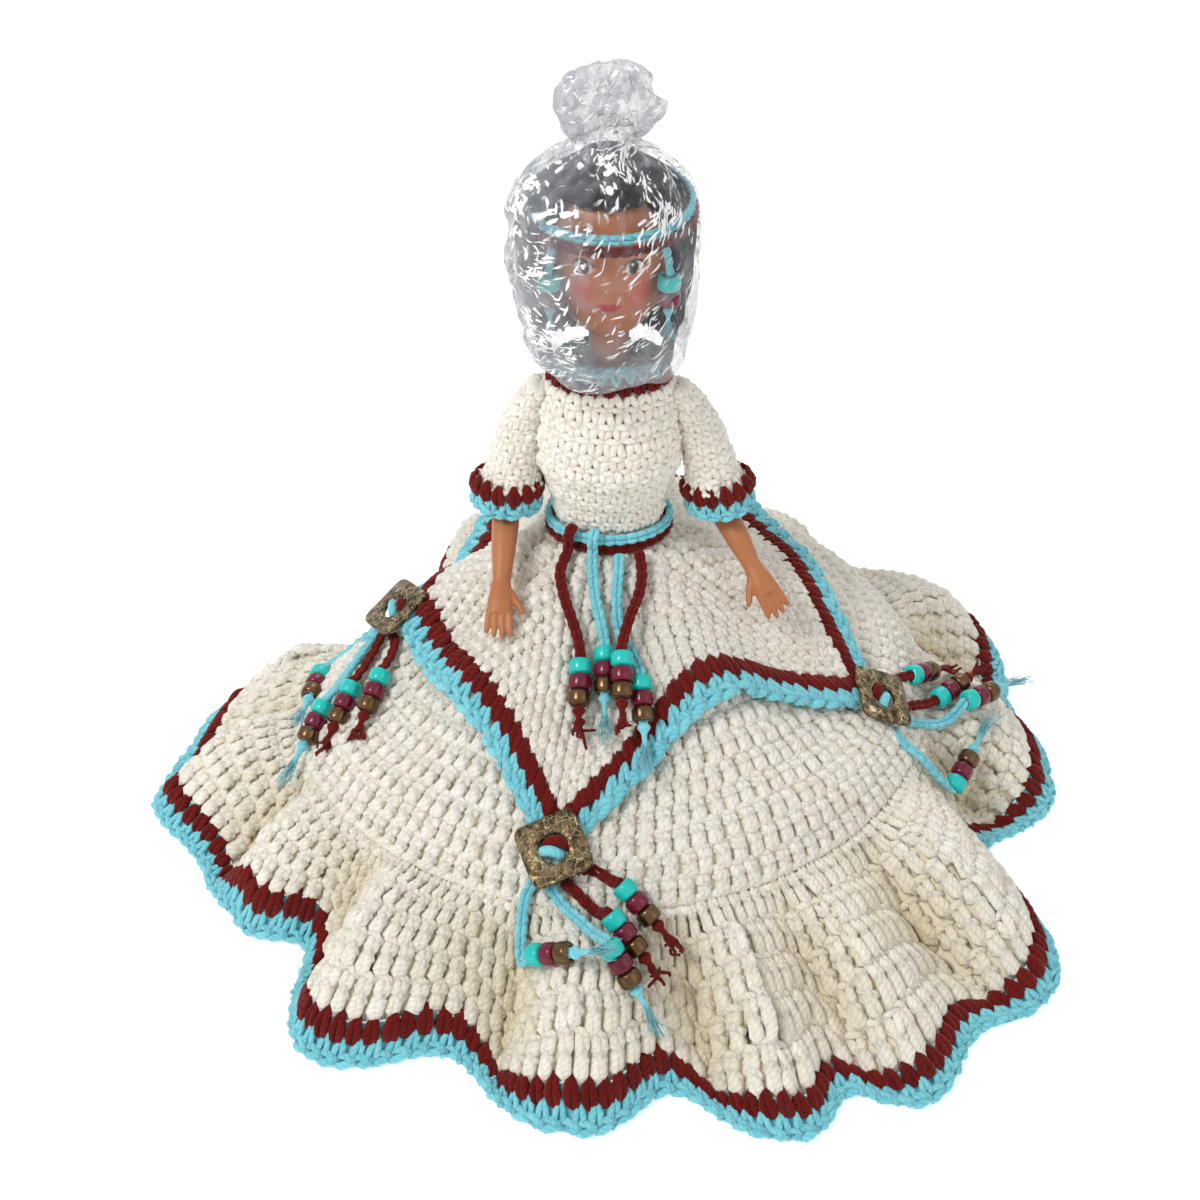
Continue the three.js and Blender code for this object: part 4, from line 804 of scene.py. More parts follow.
def makeStrands():
    for name, turn, reach, _, _ in overSet["corners"]:
        sideways, outwards, up = cornerAxes(turn)
        centre = outwards * (reach - overSet["plateInset"])

        def onSkirt(aside, out, height):
            spot = centre + sideways * aside + outwards * out
            return skirtPoint(np.degrees(np.arctan2(spot[0], -spot[1])), np.hypot(spot[0], spot[1]), height)

        for label, colour, route, heading in strandRoutes:
            shares = np.linspace(0, 1, len(route))
            points = [onSkirt(a, o, 3.0 + 2.4 * k ** 3) for (a, o), k in zip(route, shares)]
            step = runSet["strand"] * math.cos(clothTilt)
            side, out = step * math.cos(math.radians(heading)), step * math.sin(math.radians(heading))
            lastAside, lastOut = route[-1]
            samples = [onSkirt(lastAside + side * k, lastOut + out * k, runSet["clear"])
                       for k in np.linspace(0, 1, 6)]
            along = raisedRun(points, samples)
            cordPiece(f"{name}_{label}", colour, points, along, up, 3, "torso", colour + "_yarn",
                      [f"{name}_strand_{label}"])


def makeBeltTails():
    up = unit([0.0, -0.5, 0.85])
    for label, colour, overBelt, route, heading in beltTails:
        def onCloth(x, y, lift, clear):
            spot = overPoint(np.degrees(np.arctan2(x, -y)), np.hypot(x, y))
            return spot + np.array([0, 0, lift + clear / math.cos(clothTilt)])

        turn = np.degrees(np.arctan2(route[0][0], -route[0][1]))
        over = [beltPoint(turn, 7.3, 2.5), beltPoint(turn, 4.8, 6.9), beltPoint(turn, -2.0, 7.3)]
        shares = np.linspace(0, 1, len(route))
        laid = [onCloth(x, y, lift, 3.1 + 2.3 * k ** 3) for (x, y, lift), k in zip(route, shares)]
        points = (over if overBelt else [beltPoint(turn, -2.0, 6.9)]) + laid
        step = runSet["belt"] * math.cos(clothTilt)
        x, y, lift = route[-1]
        aim = math.radians(heading)
        samples = [onCloth(x + step * k * math.sin(aim), y - step * k * math.cos(aim), lift, runSet["clear"])
                   for k in np.linspace(0, 1, 6)]
        along = raisedRun(points, samples)
        nodes = [f"belt_tail_{label}", f"belt_beads_{label}"]
        cordPiece("belt_" + label, colour, points, along, up, 3, "torso", colour + "_yarn", nodes, 1.5)


def makeHeadbandTails():
    small = {**cordSet, "width": 0.75, "thick": 0.95, "pitch": 3.6, "diameter": 3.4, "fray": 7.0}
    for side, name in ((-1, "right"), (1, "left")):
        turn = side * headbandSet["tailTurn"]
        top = headbandSet["rise"] - 8.2
        points = [hairPoint(turn, top - share * headbandSet["tailDrop"], 2.2 + 7.4 * share)
                  for share in (0, 0.16, 0.32)]
        up = polar(turn, 1.0, 0.0)
        tail = f"headband_tail_{name}"
        down = np.array([0, 0, -1.0])
        cordPiece(tail, "blue", points, down, up, 2, "head", "turquoise_bead", [tail], 0.2, small)


headSet = {
    "chin": 224.0, "foreheadHairline": 53.0, "napeHairline": -2.0, "hairFall": 24.0,
    "eyeTurn": 22, "eyeHeight": 30.6, "browHeight": 37.0,
    "stations": [(0, 7.5, 8, -14), (2, 12, 13.5, -10.5), (7, 17.5, 21.5, -5.5), (15, 22, 26.2, -2.2),
                 (25, 24.9, 28.6, -0.5), (34, 25.5, 29.2, 0), (43, 24.2, 28, 0.4), (51, 20, 23.4, 0.6),
                 (56.5, 13.2, 15.8, 0.6), (60, 4, 5, 0.6)],
}
headbandSet = {"rise": 45.0, "cord": 3.6, "tailTurn": 46.0, "tailDrop": 31.0}


def hairPoint(turn, height, extra):
    # follows the skull, and falls straight below its widest part
    s = headSet
    point = ovalPoint(s["stations"], s["chin"], turn, np.maximum(height, s["hairFall"]), 0.4 + extra)
    point[..., 2] = s["chin"] + height
    return point


makeStrands()
makeBeltTails()
makeHeadbandTails()
print("cords, beads and frays made")

# stitches: each is a few short tubes given as (stitch widths across, rows down, mm out)

doubleStitch = {
    "paths": [
        [(-0.20, -0.05, -2.6), (-0.10, 0.22, -1.1), (0.10, 0.48, -0.8), (0.14, 0.76, -1.5), (-0.04, 1.02, -2.8)],
        [(0.26, -0.03, -2.4), (0.20, 0.22, -1.4), (-0.06, 0.48, -1.3), (-0.16, 0.76, -1.3), (0.10, 1.02, -2.8)],
        [(-0.40, 0.22, -2.8), (-0.20, 0.26, -0.9), (0.04, 0.36, -0.3), (0.24, 0.48, -0.9), (0.38, 0.56, -2.6)],
        [(-0.54, -0.06, -2.8), (-0.26, -0.12, -1.9), (0.02, -0.10, -1.5), (0.28, -0.02, -1.9), (0.54, 0.06, -2.8)],
    ],
    "radii": [2.0, 2.0, 1.45, 1.4],
}
singleStitch = {
    "paths": [
        [(-0.02, 0.02, -2.4), (-0.14, 0.25, -1.2), (-0.27, 0.50, -0.9), (-0.34, 0.74, -1.2), (-0.33, 1.0, -2.4)],
        [(0.04, 0.02, -2.4), (0.14, 0.25, -1.2), (0.25, 0.50, -0.9), (0.32, 0.74, -1.2), (0.33, 1.0, -2.4)],
        [(-0.62, 0.93, -2.4), (-0.30, 0.98, -1.0), (0.00, 1.03, -0.5), (0.30, 1.08, -1.0), (0.62, 1.12, -2.4)],
    ],
    "radii": [1.9, 1.9, 1.6],
}
leafStitch = {
    "paths": [
        [(-0.06, -0.50, -2.0), (-0.20, -0.05, -0.5), (-0.27, 0.42, -0.2), (-0.12, 0.85, -0.7), (0.10, 1.20, -2.0)],
        [(-0.02, -0.50, -2.0), (0.10, -0.05, -0.5), (0.25, 0.42, -0.2), (0.26, 0.85, -0.7), (0.14, 1.20, -2.0)],
    ],
    "radii": [1.75, 1.75], "taper": [0.5, 0.95, 1.1, 0.9, 0.5],
}
edgeStitch = {
    "paths": [
        [(0.50, -0.62, -2.2), (0.40, -0.22, -0.6), (0.31, 0.10, -0.4), (0.26, 0.42, -0.6), (0.28, 0.75, -2.0)],
        [(0.50, -0.62, -2.2), (0.60, -0.22, -0.6), (0.69, 0.10, -0.4), (0.74, 0.42, -0.6), (0.72, 0.75, -2.0)],
        [(-0.55, 0.58, -2.2), (-0.22, 0.48, -0.7), (0.10, 0.55, -0.4), (0.42, 0.74, -0.8), (0.70, 0.90, -2.2)],
        [(-0.55, 0.98, -2.2), (-0.22, 1.00, -1.0), (0.10, 0.90, -0.7), (0.42, 0.74, -1.0), (0.70, 0.60, -2.4)],
    ],
    "radii": [1.3, 1.3, 1.5, 1.5],
}


usualStitch, rowShift = 6.3, 0.37


def facing(face, turn, down):
    # the normal, from the slopes round and down the surface
    across = face(turn + 0.4, down) - face(turn - 0.4, down)
    along = face(turn, down + 0.01) - face(turn, down - 0.01)
    return unit(np.cross(along, across))


def evenTurns(face, down, even=1.0):
    # turn for each share of the way round, even along the edge's length, and that length
    turn = np.linspace(-180, 180, 1441)
    edge = face(turn, np.full_like(turn, down))
    far = np.concatenate([[0], np.cumsum(np.linalg.norm(np.diff(edge, axis=0), axis=1))])
    share = even * far / far[-1] + (1 - even) * np.linspace(0, 1, 1441)
    return (lambda s: np.interp(s % 1.0, share, turn) + 360 * np.floor(s)), far[-1]


def stitched(face, turnAt, rows, stitch, thick=1.0, shade=None):
    # every point is the surface at the stitch's own turn and depth, plus its height along the normal
    template, radii = np.array(stitch["paths"]), np.array(stitch["radii"]) * thick
    shapes = []
    for top, bottom, count, phase in rows:
        shake = rng.normal(0, 1, (count, 1, 1, 3)) * np.array([0.045, 0.03, 0.24])
        part = template[None] + shake
        turn = turnAt((np.arange(count)[:, None, None] + 0.5 + phase + part[..., 0]) / count)
        down = top + (bottom - top) * part[..., 1]
        out = facing(face, turn, down)
        path = face(turn, down) + part[..., 2:] * out
        spots = face(turnAt((np.arange(count) + 0.5 + phase) / count), np.full(count, (top + bottom) / 2))
        wide = np.linalg.norm(np.roll(spots, -1, axis=0) - spots, axis=1)[:, None, None]
        vary = np.clip(wide / usualStitch, 0.8, 1.25) * (1 + 0.06 * rng.normal(0, 1, (count, len(radii), 1)))
        around = radii[None, :, None] * vary * np.array(stitch.get("taper", [0.82, 1, 1.03, 1.02, 0.82]))
        size = (-1, *path.shape[2:])
        shapes.append(tubes(path.reshape(size), around.reshape(-1, path.shape[2]), out.reshape(size)))
        # painted shade: the tint is lowered by shade(), darkening the yarn in the creases
        if shade:
            shapes[-1]["tint"] = shapes[-1]["tint"] - np.repeat(shade(turn, down).reshape(-1), yarnSides)
    return joinShapes(shapes)


def backing(face, turnAt, rows, depth):
    # the cloth behind the stitches: the same surface set back, four strips of faces to a row
    count = max(row[2] for row in rows)
    down = np.concatenate([np.linspace(a, b, 4, endpoint=False) for a, b, _, _ in rows] + [[rows[-1][1]]])
    turn, down = np.meshgrid(turnAt(np.arange(2 * count) / (2 * count)), down)
    return gridShape(face(turn, down) - depth * facing(face, turn, down), scale=(0.5, 0.25))


def ringRows(count, stitches):
    # rows of equal height from the top of a surface to its foot, each with its own number of stitches
    edges = np.linspace(0, 1, count + 1)
    ends = zip(edges[:-1], edges[1:])
    return [(top, foot, int(stitches((top + foot) / 2)), rowShift * k) for k, (top, foot) in enumerate(ends)]


def seamRing(name, face, down, size, lift):
    # a ridge of chain stitches round an edge of the cloth
    turn = np.linspace(-180, 180, 721)
    at = np.full_like(turn, down)
    out = facing(face, turn, at)
    return yarnPiece(name, chain(face(turn, at) + lift * out, out, size, True), "cream", "torso")


def onFloor(shape, height=0.15):
    shape["points"][:, 2] = np.maximum(shape["points"][:, 2], height)
    return shape


def trimRounds(names, cadName, faces, turnAt, row, body, thick=(1.0, 1.0)):
    # a red round of leaves and a blue round outside it
    pieces = []
    rounds = zip(names, ("red", "blue"), faces, (leafStitch, edgeStitch), thick)
    for name, colour, face, stitch, share in rounds:
        shape = onFloor(stitched(face, turnAt, row, stitch, share))
        pieces.append(yarnPiece(name, shape, colour, body, f"{cadName}_{colour}"))
    return pieces


ridge = {"pitch": 6.6, "width": 1.9, "thick": 2.0}


def creaseShade(turn, down):
    # painted shade for the yarn: 0 on the crests of the folds, most in the creases halfway down
    return 1.3 * (1 - foldAt(turn)[1]) * np.sin(np.pi * np.clip(down, 0.1, 0.9)) ** 0.6


def makeSkirt():
    s = skirtSet
    turnAt, _ = evenTurns(tierFace, 1.0)
    girth = lambda share: 2 * np.pi * (s["waist"] + (s["seam"] * s["meanSeam"] - s["waist"]) * share)
    rows = ringRows(s["tierRows"], lambda share: girth(share) / s["stitch"])
    tier = clothPiece("tierCloth", backing(tierFace, turnAt, rows, 2.5), creamCloth, "torso", "skirt_tier")
    shown = rows[s["tierFrom"]:]  # the overskirt hides the rows above
    shape = stitched(tierFace, turnAt, shown, doubleStitch)
    tierStitches = yarnPiece("tierStitches", shape, "cream", "torso")
    seam = seamRing("seamRidge", tierFace, 1.0, ridge, -2.9)
    turnAt, _ = evenTurns(ruffleFace, 1.0, 0.6)
    rows = ringRows(s["ruffleRows"], lambda share: s["ruffleStitches"])
    shape = onFloor(backing(ruffleFace, turnAt, rows, 2.8), 1.0)
    ruffle = clothPiece("ruffleCloth", shape, openCloth, "torso", "ruffle")
    shape = onFloor(stitched(ruffleFace, turnAt, rows, doubleStitch, 1.0, creaseShade))
    ruffleStitches = yarnPiece("ruffleStitches", shape, "cream", "torso")
    faces = hemFace(2, 1), hemFace(1, 0)
    turnAt, far = evenTurns(faces[0], 0.5)
    row = [(0, 1, int(far / s["edgeStitch"]), 0.0)]
    behind = yarnPiece("hemCloth", onFloor(backing(hemFace(2, 0), turnAt, row, 1.7), 1.0), "blue", "torso")
    thicken(behind, 0.6)
    hems = [behind, *trimRounds(("hemRed", "hemBlue"), "hem", faces, turnAt, row, "torso")]


def makeOverskirt():
    s = overSet
    faces = overBand(2, 1), overBand(1, 0)
    turnAt, far = evenTurns(faces[0], 0.5)
    rows = ringRows(s["rows"], lambda share: max(far * share, s["least"]) / s["stitch"])
    shape = backing(overFace, turnAt, rows, 2.5)
    cloth = clothPiece("overskirtCloth", shape, creamCloth, "torso", "overskirt")
    extra = [yarnPiece("overskirtStitches", stitched(overFace, turnAt, rows, doubleStitch), "cream", "torso")]
    row = [(0, 1, int(far / s["edgeStitch"]), 0.0)]
    extra += trimRounds(("overskirtRed", "overskirtBlue"), "overskirt_trim", faces, turnAt, row, "torso")


makeSkirt()
makeOverskirt()
print("skirt and overskirt stitched")

plateSet = {"half": 12.5, "hole": 5.7, "wall": 2.0, "soft": 0.45, "corner": 7.0, "turn": 30.0, "lift": 2.0}


def makePlates(s=plateSet):
    # a square with soft corners, |x|^n + |y|^n = 1, and a round hole; its section is carried round the middle
    angle = 2 * np.pi * np.arange(120) / 120
    n = s["corner"]
    outer = s["half"] / (np.abs(np.cos(angle)) ** n + np.abs(np.sin(angle)) ** n) ** (1 / n)
    e, h = s["soft"], s["wall"]
    section = [(1, 0.0, e), (1, 0.0, h - e), (1, -e, h), (0, e + 1.5, h), (0, e, h), (0, 0.0, h - e),
               (0, 0.0, e), (0, e, 0.0), (1, -e, 0.0)]
    bore = np.full_like(outer, s["hole"])
    radius = np.stack([(outer if side else bore) + step for side, step, _ in section])
    height = np.array([z for _, _, z in section])[:, None]
    spin = angle + math.radians(s["turn"])
    flat = np.stack(np.broadcast_arrays(radius * np.cos(spin), radius * np.sin(spin), height), -1)[::-1]
    for name, turn, reach, _, _ in overSet["corners"]:
        sideways, outwards, upright = cornerAxes(turn)
        downhill = outwards * math.cos(clothTilt) - np.array([0, 0, math.sin(clothTilt)])
        rise = overSet["rise"] + s["lift"] / math.cos(clothTilt)
        out = reach - overSet["plateInset"]
        seat = polar(turn, out, skirtHeight(turn, out) + rise)
        basis = np.stack([sideways, -downhill, upright])
        shape = gridShape(seat + flat @ basis, closedDown=True)
        addPiece(f"{name}Plate", shape, bronzePlate, "torso", "bronze_plate", f"{name}_plate")
        for colour, aside, up in (("red", 0.6, 1.9), ("blue", -1.2, -2.3)):
            t = np.linspace(-1, 1, 9)
            local = np.stack([aside + 4.6 * t, up + 1.2 * (1 - t * t), 1.6 - 3.2 * t * t], -1)
            yarnPiece(f"{name}Loop_{colour}", oneTube(seat + local @ basis, 2.1, upright, 8), colour, "torso")


makePlates()
print("plates made")


def makeBodice():
    s = bodiceSet
    turnAt, far = evenTurns(bodiceFace, 0.45)
    rows = ringRows(s["rows"], lambda share: far / s["stitch"])
    cloth = clothPiece("bodiceCloth", backing(bodiceFace, turnAt, rows, 2.3), creamCloth, "torso", "bodice")
    extra = [yarnPiece("bodiceStitches", stitched(bodiceFace, turnAt, rows, singleStitch), "cream", "torso")]
    faces = collarFace(0), collarFace(1)
    turnAt, far = evenTurns(faces[0], 0.0)
    row = [(0, 1, int(far / s["collarStitch"]), 0.0)]
    extra += trimRounds(("collarRed", "collarBlue"), "collar", faces, turnAt, row, "torso", (0.85, 0.9))
    turn = np.linspace(-180, 180, 181)
    for name, height, colour in (("belt_blue", 2.15, "blue"), ("belt_red", -2.15, "red")):
        ring = chain(beltPoint(turn, height, 2.4), polar(turn, 1.0, 0.3), cordSet, True)
        yarnPiece(name + "Chain", ring, colour, "torso", name)


sleeveSet = {
    "rows": 9, "stitch": 5.6, "band": 5.4, "cuffStitch": 5.6, "cuff": 13.0, "cuffStep": 5.7,
    "shoulder": (37.6, 0.0, 187.0),
}
armSet = {
    "right": {"side": -1, "elbow": (4, -4, -51), "wrist": (5.2, -34, -67), "tip": (6, -57, -78)},
    "left": {"side": 1, "elbow": (8, -3, -52), "wrist": (20.5, -22, -69), "tip": (32, -38, -82)},
    "fingers": (0.9, 1.0, 0.96, 0.82), "finger": 12.5, "fingerGap": 2.55, "fingertip": 12.0, "thumb": 11.0,
}


def armPoint(side, place):
    x, y, z = sleeveSet["shoulder"]
    return np.array([side * (x + place[0]), y + place[1], z + place[2]])


def sleeveFace(arm, fromDistance, toDistance, table):
    # ovals about the line from the shoulder to the elbow, drawn in towards the collar at the top
    side = arm["side"]
    start = armPoint(side, (0, 0, 0))
    axis = unit(armPoint(side, arm["elbow"]) - start)
    front = unit(np.cross(axis, np.cross([0, -1.0, 0], axis)))
    across = np.cross(front, axis)

    def face(turn, down):
        far = fromDistance + (toDistance - fromDistance) * np.clip(down, -0.8, 1)
        turn, far = np.broadcast_arrays(turn, far)
        drawn, wide, deep = (value[..., None] for value in outlineAt(table, far))
        t = np.radians(turn)[..., None]
        aside = (wide * np.sin(t) - side * drawn) * across
        return start + far[..., None] * axis + aside + deep * np.cos(t) * front
    return face


def makeSleeve(name):
    s, arm = sleeveSet, armSet[name]
    length = float(np.linalg.norm(arm["elbow"]))
    end, top = length - 12.8, -7.0
    table = [(top, 11.4, 2.8, 4), (-5, 10.4, 4.4, 6.8), (0, 8.2, 6, 8.5), (9, 5.0, 7.6, 9),
             (25, 2.4, 9.6, 9.6), (0.72 * length, 1.4, 11.2, 11), (end, 0.6, 12.9, 12.9)]
    face = sleeveFace(arm, top, end, table)
    turnAt = lambda share: 360 * share
    girth = lambda share: 2 * np.pi * max(outlineAt(table, top + (end - top) * share)[2], 7.0)
    rows = ringRows(s["rows"], lambda share: girth(share) / s["stitch"])
    body = f"{name}_arm"
    shape = backing(face, turnAt, rows, 2.3)
    cloth = clothPiece(f"{name}SleeveCloth", shape, creamCloth, body, f"{name}_sleeve")
    shape = stitched(face, turnAt, rows, singleStitch)
    extra = [yarnPiece(f"{name}SleeveStitches", shape, "cream", body)]

    def cuffFace(order):
        start = end + seamGap + order * s["cuffStep"]
        foot = start + s["band"]
        inner, outer = s["cuff"] + 0.8, s["cuff"] + 1.2
        widths = [(start - 6, 0, inner, inner), (start, 0, inner, inner), (foot, 0, outer, outer)]
        return sleeveFace(arm, start, foot, widths)

    row = [(0, 1, int(2 * np.pi * s["cuff"] / s["cuffStitch"]), 0.0)]
    names = f"{name}Cuff_red", f"{name}Cuff_blue"
    faces = cuffFace(0), cuffFace(1)
    extra += trimRounds(names, f"{name}_cuff", faces, turnAt, row, body, (0.95, 0.95))


def makeArm(name):
    # limb, palm and fingers as tubes, fused and smoothed into one skin
    arm, side = armSet[name], armSet[name]["side"]
    places = (0, 0, 0), arm["elbow"], arm["wrist"], arm["tip"]
    shoulder, elbow, wrist, tip = (armPoint(side, place) for place in places)
    aim = unit(tip - wrist)
    across = unit(np.array([-side, 0, 0]) + side * aim[0] * aim)
    over = unit(np.cross(across, aim))
    over = over if over[2] > 0 else -over
    palmLong = float(np.linalg.norm(tip - wrist)) - armSet["fingertip"]
    knuckle = wrist + aim * palmLong
    path = smoothPath([shoulder * 0.55 + elbow * 0.45, shoulder * 0.25 + elbow * 0.75, elbow,
                       elbow * 0.5 + wrist * 0.5, wrist], 40)
    girth = np.interp(np.linspace(0, 1, 40), [0, 0.1, 0.4, 0.6, 0.8, 1.0], [3.5, 5.1, 5.3, 5.5, 4.9, 3.6])
    shapes = [oneTube(path, girth, over, 24, np.linspace(1, 0.88, 40))]
    palm = smoothPath([wrist - aim * 3, wrist + aim * 4, knuckle - aim * 2, knuckle + aim * 1.5], 16)
    girth = np.interp(np.linspace(0, 1, 16), [0, 0.3, 0.7, 1], [3.4, 4.1, 5.1, 4.9])
    shapes.append(oneTube(palm, girth, over, 20, np.linspace(0.85, 0.5, 16)))
    bend = np.linspace(0, 1, 9)[:, None]
    tipped = np.array([1, 1, 1, 1, 1, 1, 1, 0.95, 0.6])
    for k, share in enumerate(armSet["fingers"]):
        aside = across * (1.5 - k) * armSet["fingerGap"]
        way = unit(aim + 0.06 * (1.5 - k) * across)
        line = knuckle - aim * 1.0 + aside + bend * (armSet["finger"] * share) * way - over * 1.6 * bend ** 2
        shapes.append(oneTube(line, np.linspace(1.5, 1.12, 9) * tipped, over, 12))
    root = wrist + aim * palmLong * 0.3 + across * 2.6
    way = unit(0.72 * aim + 0.62 * across)
    line = root + bend * armSet["thumb"] * way + aim * 1.8 * bend ** 2 - over * 1.0 * bend
    shapes.append(oneTube(line, np.linspace(1.9, 1.25, 9) * tipped, over, 12))
    body = f"{name}_arm"
    piece = addPiece(f"{name}ArmSkin", joinShapes(shapes), tanVinyl, body, "tan_vinyl", body)
    fused = piece.modifiers.new("fused", "REMESH")
    fused.mode, fused.voxel_size, fused.use_smooth_shade = "VOXEL", 0.5 * mm, True
    soft = piece.modifiers.new("soft", "SMOOTH")
    soft.factor, soft.iterations = 0.5, 5


legSet = {
    "hip": (19.5, -2.0, 86.0), "splay": 22.0, "lean": -62.46,
    "stations": [(-12.6, 3.5, 3.5), (-9.5, 8.4, 8.4), (0, 12.4, 12.6), (22, 11.8, 12.2), (50, 10.6, 10.8),
                 (76, 9, 9.4), (98, 9, 9.6), (122, 7, 7.4), (139, 5.2, 5.6), (150, 5.6, 5.8), (161, 5.8, 4.6),
                 (168, 4.2, 3.2), (170, 2, 1.6)],
}


def makeLeg(name, side, s=legSet):
    # oval sections down the leg's own line, turned out from the hip
    down = np.linspace(s["stations"][0][0], s["stations"][-1][0], 90)
    far, turn = np.meshgrid(down, np.linspace(0, 2 * np.pi, 40, endpoint=False), indexing="ij")
    wide, deep = outlineAt(s["stations"], far)
    x, y, z = wide * np.cos(turn), -deep * np.sin(turn), -far
    lean, splay = math.radians(s["lean"]), math.radians(side * s["splay"])
    y, z = y * math.cos(lean) - z * math.sin(lean), y * math.sin(lean) + z * math.cos(lean)
    x, y = x * math.cos(splay) - y * math.sin(splay), x * math.sin(splay) + y * math.cos(splay)
    hip = np.array(s["hip"]) * [side, 1, 1]
    shape = gridShape(np.stack([x, y, z], -1) + hip, capped=True)
    addPiece(f"{name}LegSkin", shape, tanVinyl, f"{name}_leg", "tan_vinyl", f"{name}_leg")


makeBodice()
for armName, armSide in (("right", -1), ("left", 1)):
    makeSleeve(armName)
    makeArm(armName)
    makeLeg(armName, armSide)
print("bodice, sleeves and limbs made")


def makeHead():
    # oval sections with a nose, lips and eye hollows raised on them, and a painted colour at each point
    s = headSet
    height = np.linspace(0, 60, 151)[::-1]
    h, turn = np.meshgrid(height, np.linspace(-180, 180, 240, endpoint=False), indexing="ij")
    relief = 3.6 * hump(h, 25, 5) * hump(turn, 0, 8) + 1.2 * hump(h, 16, 2.6) * hump(turn, 0, 13)
    relief = relief - 1.6 * hump(h, 31, 4.5) * (hump(turn, -23, 11) + hump(turn, 23, 11))
    shape = gridShape(ovalPoint(s["stations"], s["chin"], turn, h, relief), capped=True)
    piece = addPiece("headSkin", shape, paintedFace, "head", "tan_vinyl", "head")
    side = np.abs(turn)
    colour = np.broadcast_to(np.array(paint(184, 116, 78)), (*h.shape, 4)).copy()

    def lay(mask, tone):
        colour[:] = colour + np.clip(mask, 0, 1)[..., None] * (np.array(paint(*tone)) - colour)

    lay(0.8 * hump(side, 27, 11) * hump(h, 21, 5.5), (205, 80, 78))
    lipTop = 16.2 + 1.7 * np.maximum(1 - (side / 11) ** 2, 0) ** 0.7 - 0.6 * hump(side, 0, 2.5)
    lipFoot = 15.8 - 2.0 * np.maximum(1 - (side / 10) ** 2, 0) ** 0.8
    lay(8 * np.minimum(lipTop - h, h - lipFoot) * (side < 11), (176, 38, 50))
    eyeAside, eyeUp = side - s["eyeTurn"], h - s["eyeHeight"]
    eye = 1 - (eyeAside / 8.6) ** 2 - (eyeUp / 2.7) ** 2
    lay(6 * eye, (222, 214, 206))
    iris = 1 - ((side - 21.5) / 4.9) ** 2 - (eyeUp / 2.8) ** 2
    lay(6 * iris * (eye > 0), (52, 30, 20))
    lay(6 * (1 - ((side - 20.6) / 1.2) ** 2 - ((h - 31.6) / 0.8) ** 2), (250, 250, 250))
    lash = s["eyeHeight"] + 2.9 * np.sqrt(np.maximum(1 - (eyeAside / 10) ** 2, 0))
    lay(2.2 * (0.75 - np.abs(h - lash)) * (np.abs(eyeAside) < 9.8), (16, 12, 12))
    brow = s["browHeight"] + 1.3 * hump(side, 24, 9)
    lay(2.0 * (0.8 - np.abs(h - brow)) * (np.abs(side - 23) < 11), (24, 16, 14))
    store = piece.data.attributes.new("face", "FLOAT_COLOR", "POINT")
    store.data.foreach_set("color", colour.reshape(-1).astype(np.float32))


hairSet = {
    "locks": 240, "top": 59.6, "thick": 1.25,
    "falls": 150, "fallTop": 57, "fallFoot": (-19, -16), "fallThick": 1.3,
}


def hairEdge(turn):
    share = np.clip((np.abs(turn) - 50) / 24, 0, 1)
    share = share * share * (3 - 2 * share)
    return headSet["foreheadHairline"] + (headSet["napeHairline"] - headSet["foreheadHairline"]) * share


def makeHair(s=hairSet):
    # locks that run from the crown down the skull to the hairline
    count = s["locks"]
    turn = np.linspace(-180, 180, count, endpoint=False) + rng.normal(0, 0.6, count)
    t = np.linspace(0, 1, 18)[None]
    foot = hairEdge(turn)[:, None] + rng.uniform(-1.2, 0.6, (count, 1))
    height = s["top"] + (foot - s["top"]) * t
    sway = turn[:, None] + 2.5 * np.sin(3 * t + rng.uniform(0, 6, (count, 1))) * t
    path = hairPoint(sway, height, 2.3 + 0.7 * rng.random((count, 1)))
    thick = s["thick"] * np.interp(t, [0, 0.15, 0.85, 1], [0.7, 1, 1, 0.6])
    locks = tubes(path, thick, polar(sway, 1.0, 0.25))
    crownPath = np.array([(0, 0.6, headSet["chin"] + rise) for rise in (58.0, 60.5, 62.6)])
    crown = oneTube(crownPath, np.array([9.0, 8.0, 3.0]), [0, 1.0, 0], 24)
    # longer locks over the sides and back, fuller on the doll's right and drawn in at their ends
    count = s["falls"]
    turn = np.linspace(56, 304, count) + rng.normal(0, 0.6, count)
    height = s["fallTop"] - (s["fallTop"] - rng.uniform(*s["fallFoot"], (count, 1))) * t
    over = np.where(turn > 180, 5.0, 2.4) * np.clip((np.abs(turn - 180) - 40) / 30, 0, 1)
    extra = 2.6 + over[:, None] * np.minimum(1, 5 * t) - 6.0 * np.clip((14 - height) / 24, 0, 1)
    extra = extra + rng.uniform(-0.4, 0.4, (count, 1))
    path = hairPoint(turn[:, None] + 4 * np.sin(2.5 * t), height, extra)
    thick = s["fallThick"] * np.interp(t, [0, 0.1, 0.9, 1], [0.6, 1, 1, 0.5])
    fall = tubes(path, thick, polar(turn[:, None] + 0 * t, 1.0, 0.1))
    addPiece("hairLocks", joinShapes([locks, crown, fall]), blackHair, "head", "black_hair")
    refinish("hair", blackHair)


def makeHeadband(s=headbandSet):
    turn = np.linspace(-180, 180, 181)
    band = {**cordSet, "width": 0.95, "thick": 1.1, "pitch": 4.2}
    rounds = ("headband_blue", s["rise"], "blue"), ("headband_red", s["rise"] - s["cord"] - 0.4, "red")
    for name, height, colour in rounds:
        ring = chain(hairPoint(turn, np.full_like(turn, height), 6.4), polar(turn, 1.0, 0.0), band, True)
        yarnPiece(name + "Chain", ring, colour, "head", name)


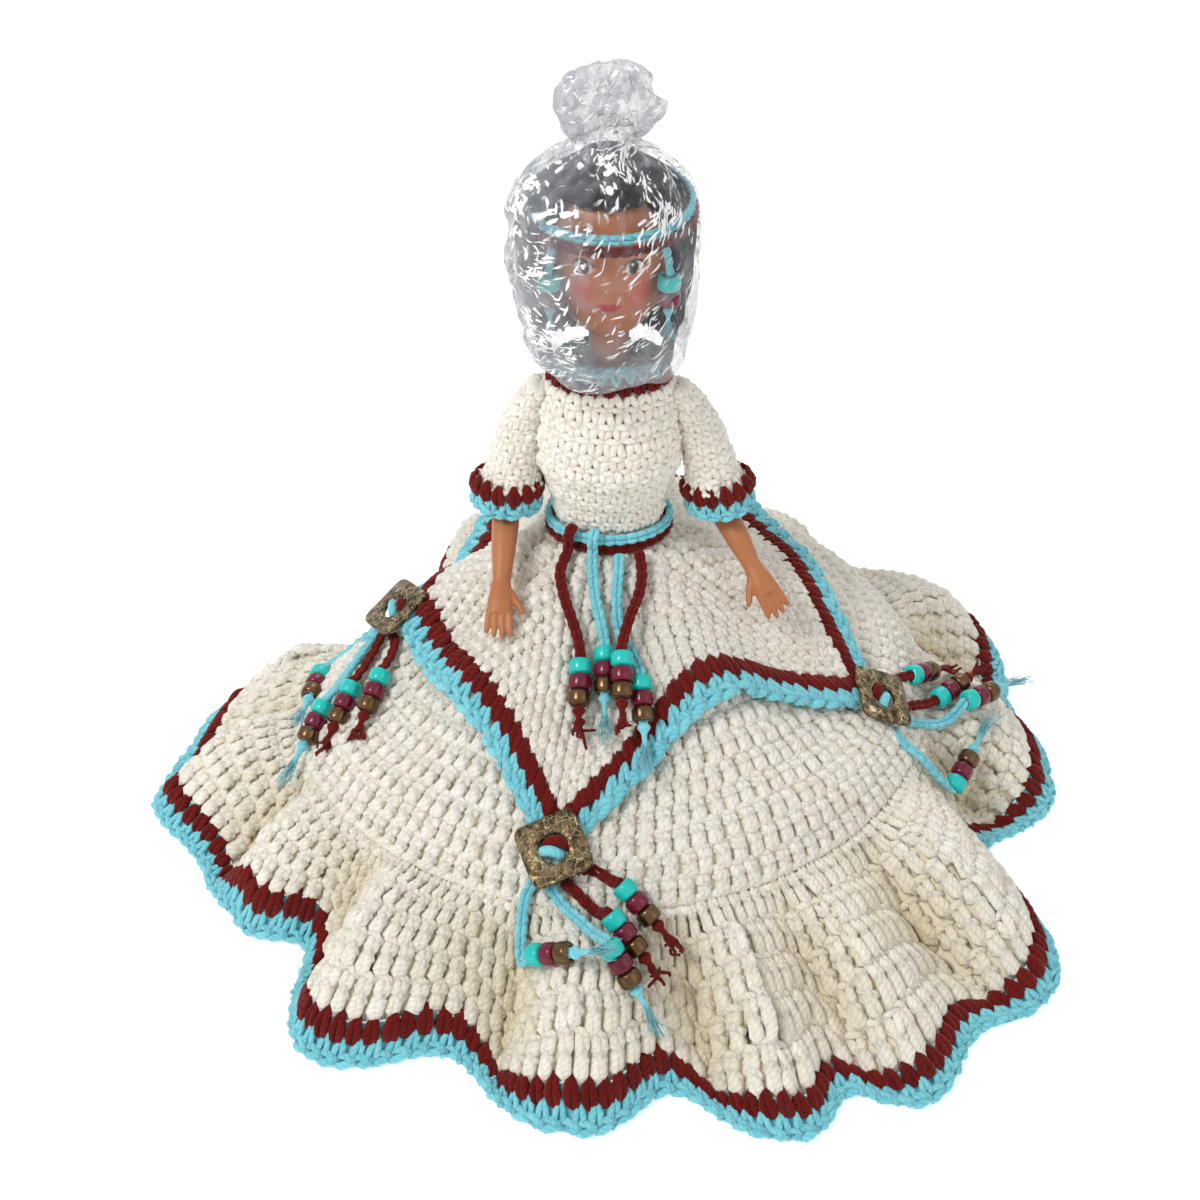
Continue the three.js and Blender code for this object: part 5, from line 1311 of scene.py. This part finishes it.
filmSet = {
    "stations": [(-20, 28.2, 27.5, -1), (-13, 30.6, 31.5, -1.5), (-2, 33, 36.5, -2.5), (14, 34.8, 39.6, -1.8),
                 (32, 35.8, 40.6, -0.8), (46, 34.6, 38.6, 0), (56, 27.5, 30, 0.4), (63, 17.5, 18.5, 0.6),
                 (68, 11, 10.5, 0.6), (72, 13.5, 10.5, 0.6), (79, 18, 12, 0.6), (86, 17.5, 12.5, 0.6),
                 (93, 11.5, 9.5, 0.6), (97, 3, 2.5, 0.6)],
    "crinkle": 0.75, "folds": 26, "bunchFolds": 12, "lean": 2.6,
}


def makeFilm(s=filmSet):
    # the bag's round sections, creased by a sum of folded waves that run in many directions
    down = np.linspace(s["stations"][-1][0], s["stations"][0][0], 200)
    h, turn = np.meshgrid(down, np.linspace(-180, 180, 230, endpoint=False), indexing="ij")
    base = ovalPoint(s["stations"], headSet["chin"], turn, h)
    crease = np.zeros_like(h)
    for _ in range(s["folds"]):
        way = unit(rng.normal(0, 1, 3))
        wave = rng.uniform(5, 24)
        phase = base @ way / wave * np.pi + rng.uniform(0, 6.3)
        phase = phase + 0.8 * np.sin(base @ unit(rng.normal(0, 1, 3)) / 14)
        crease += (np.abs(np.sin(phase)) - 0.64) * wave / 26
    bunch = np.clip((h - 50) / 18, 0, 1)
    for _ in range(s["bunchFolds"]):
        phase = base @ unit(rng.normal(0, 1, 3)) / rng.uniform(2.2, 4.5) + rng.uniform(0, 6.3)
        crease += 0.75 * (np.abs(np.sin(phase)) - 0.64) * np.clip((h - 64) / 10, 0, 1)
    pleat = np.abs(np.sin(np.radians(turn) * 9 + 2 * np.sin(np.radians(turn) * 2))) - 0.6
    lobe = 0.17 * np.cos(np.radians(3 * turn + 11 * h)) * np.clip((h - 70) / 8, 0, 1) * 12
    grow = s["crinkle"] * crease * (1 + 0.8 * bunch) + 1.4 * pleat * bunch * np.clip((90 - h) / 10, 0.3, 1)
    grow = grow + 0.7 * lobe
    points = ovalPoint(s["stations"], headSet["chin"], turn, h, np.clip(grow, -2.6, 2.8))
    points[..., 2] += 1.2 * np.sin(np.radians(turn) * 5) * np.clip((-14 - h) / 6, 0, 1)
    points[..., 0] -= s["lean"] * hump(h, 36, 30)
    film = addPiece("filmBag", gridShape(points), clearFilm, "head", "clear_film", "film_wrap")
    thicken(film, 0.12)


makeHead()
makeHair()
makeHeadband()
makeFilm()
print("head, hair and film made")

refinish("torso", tanVinyl)
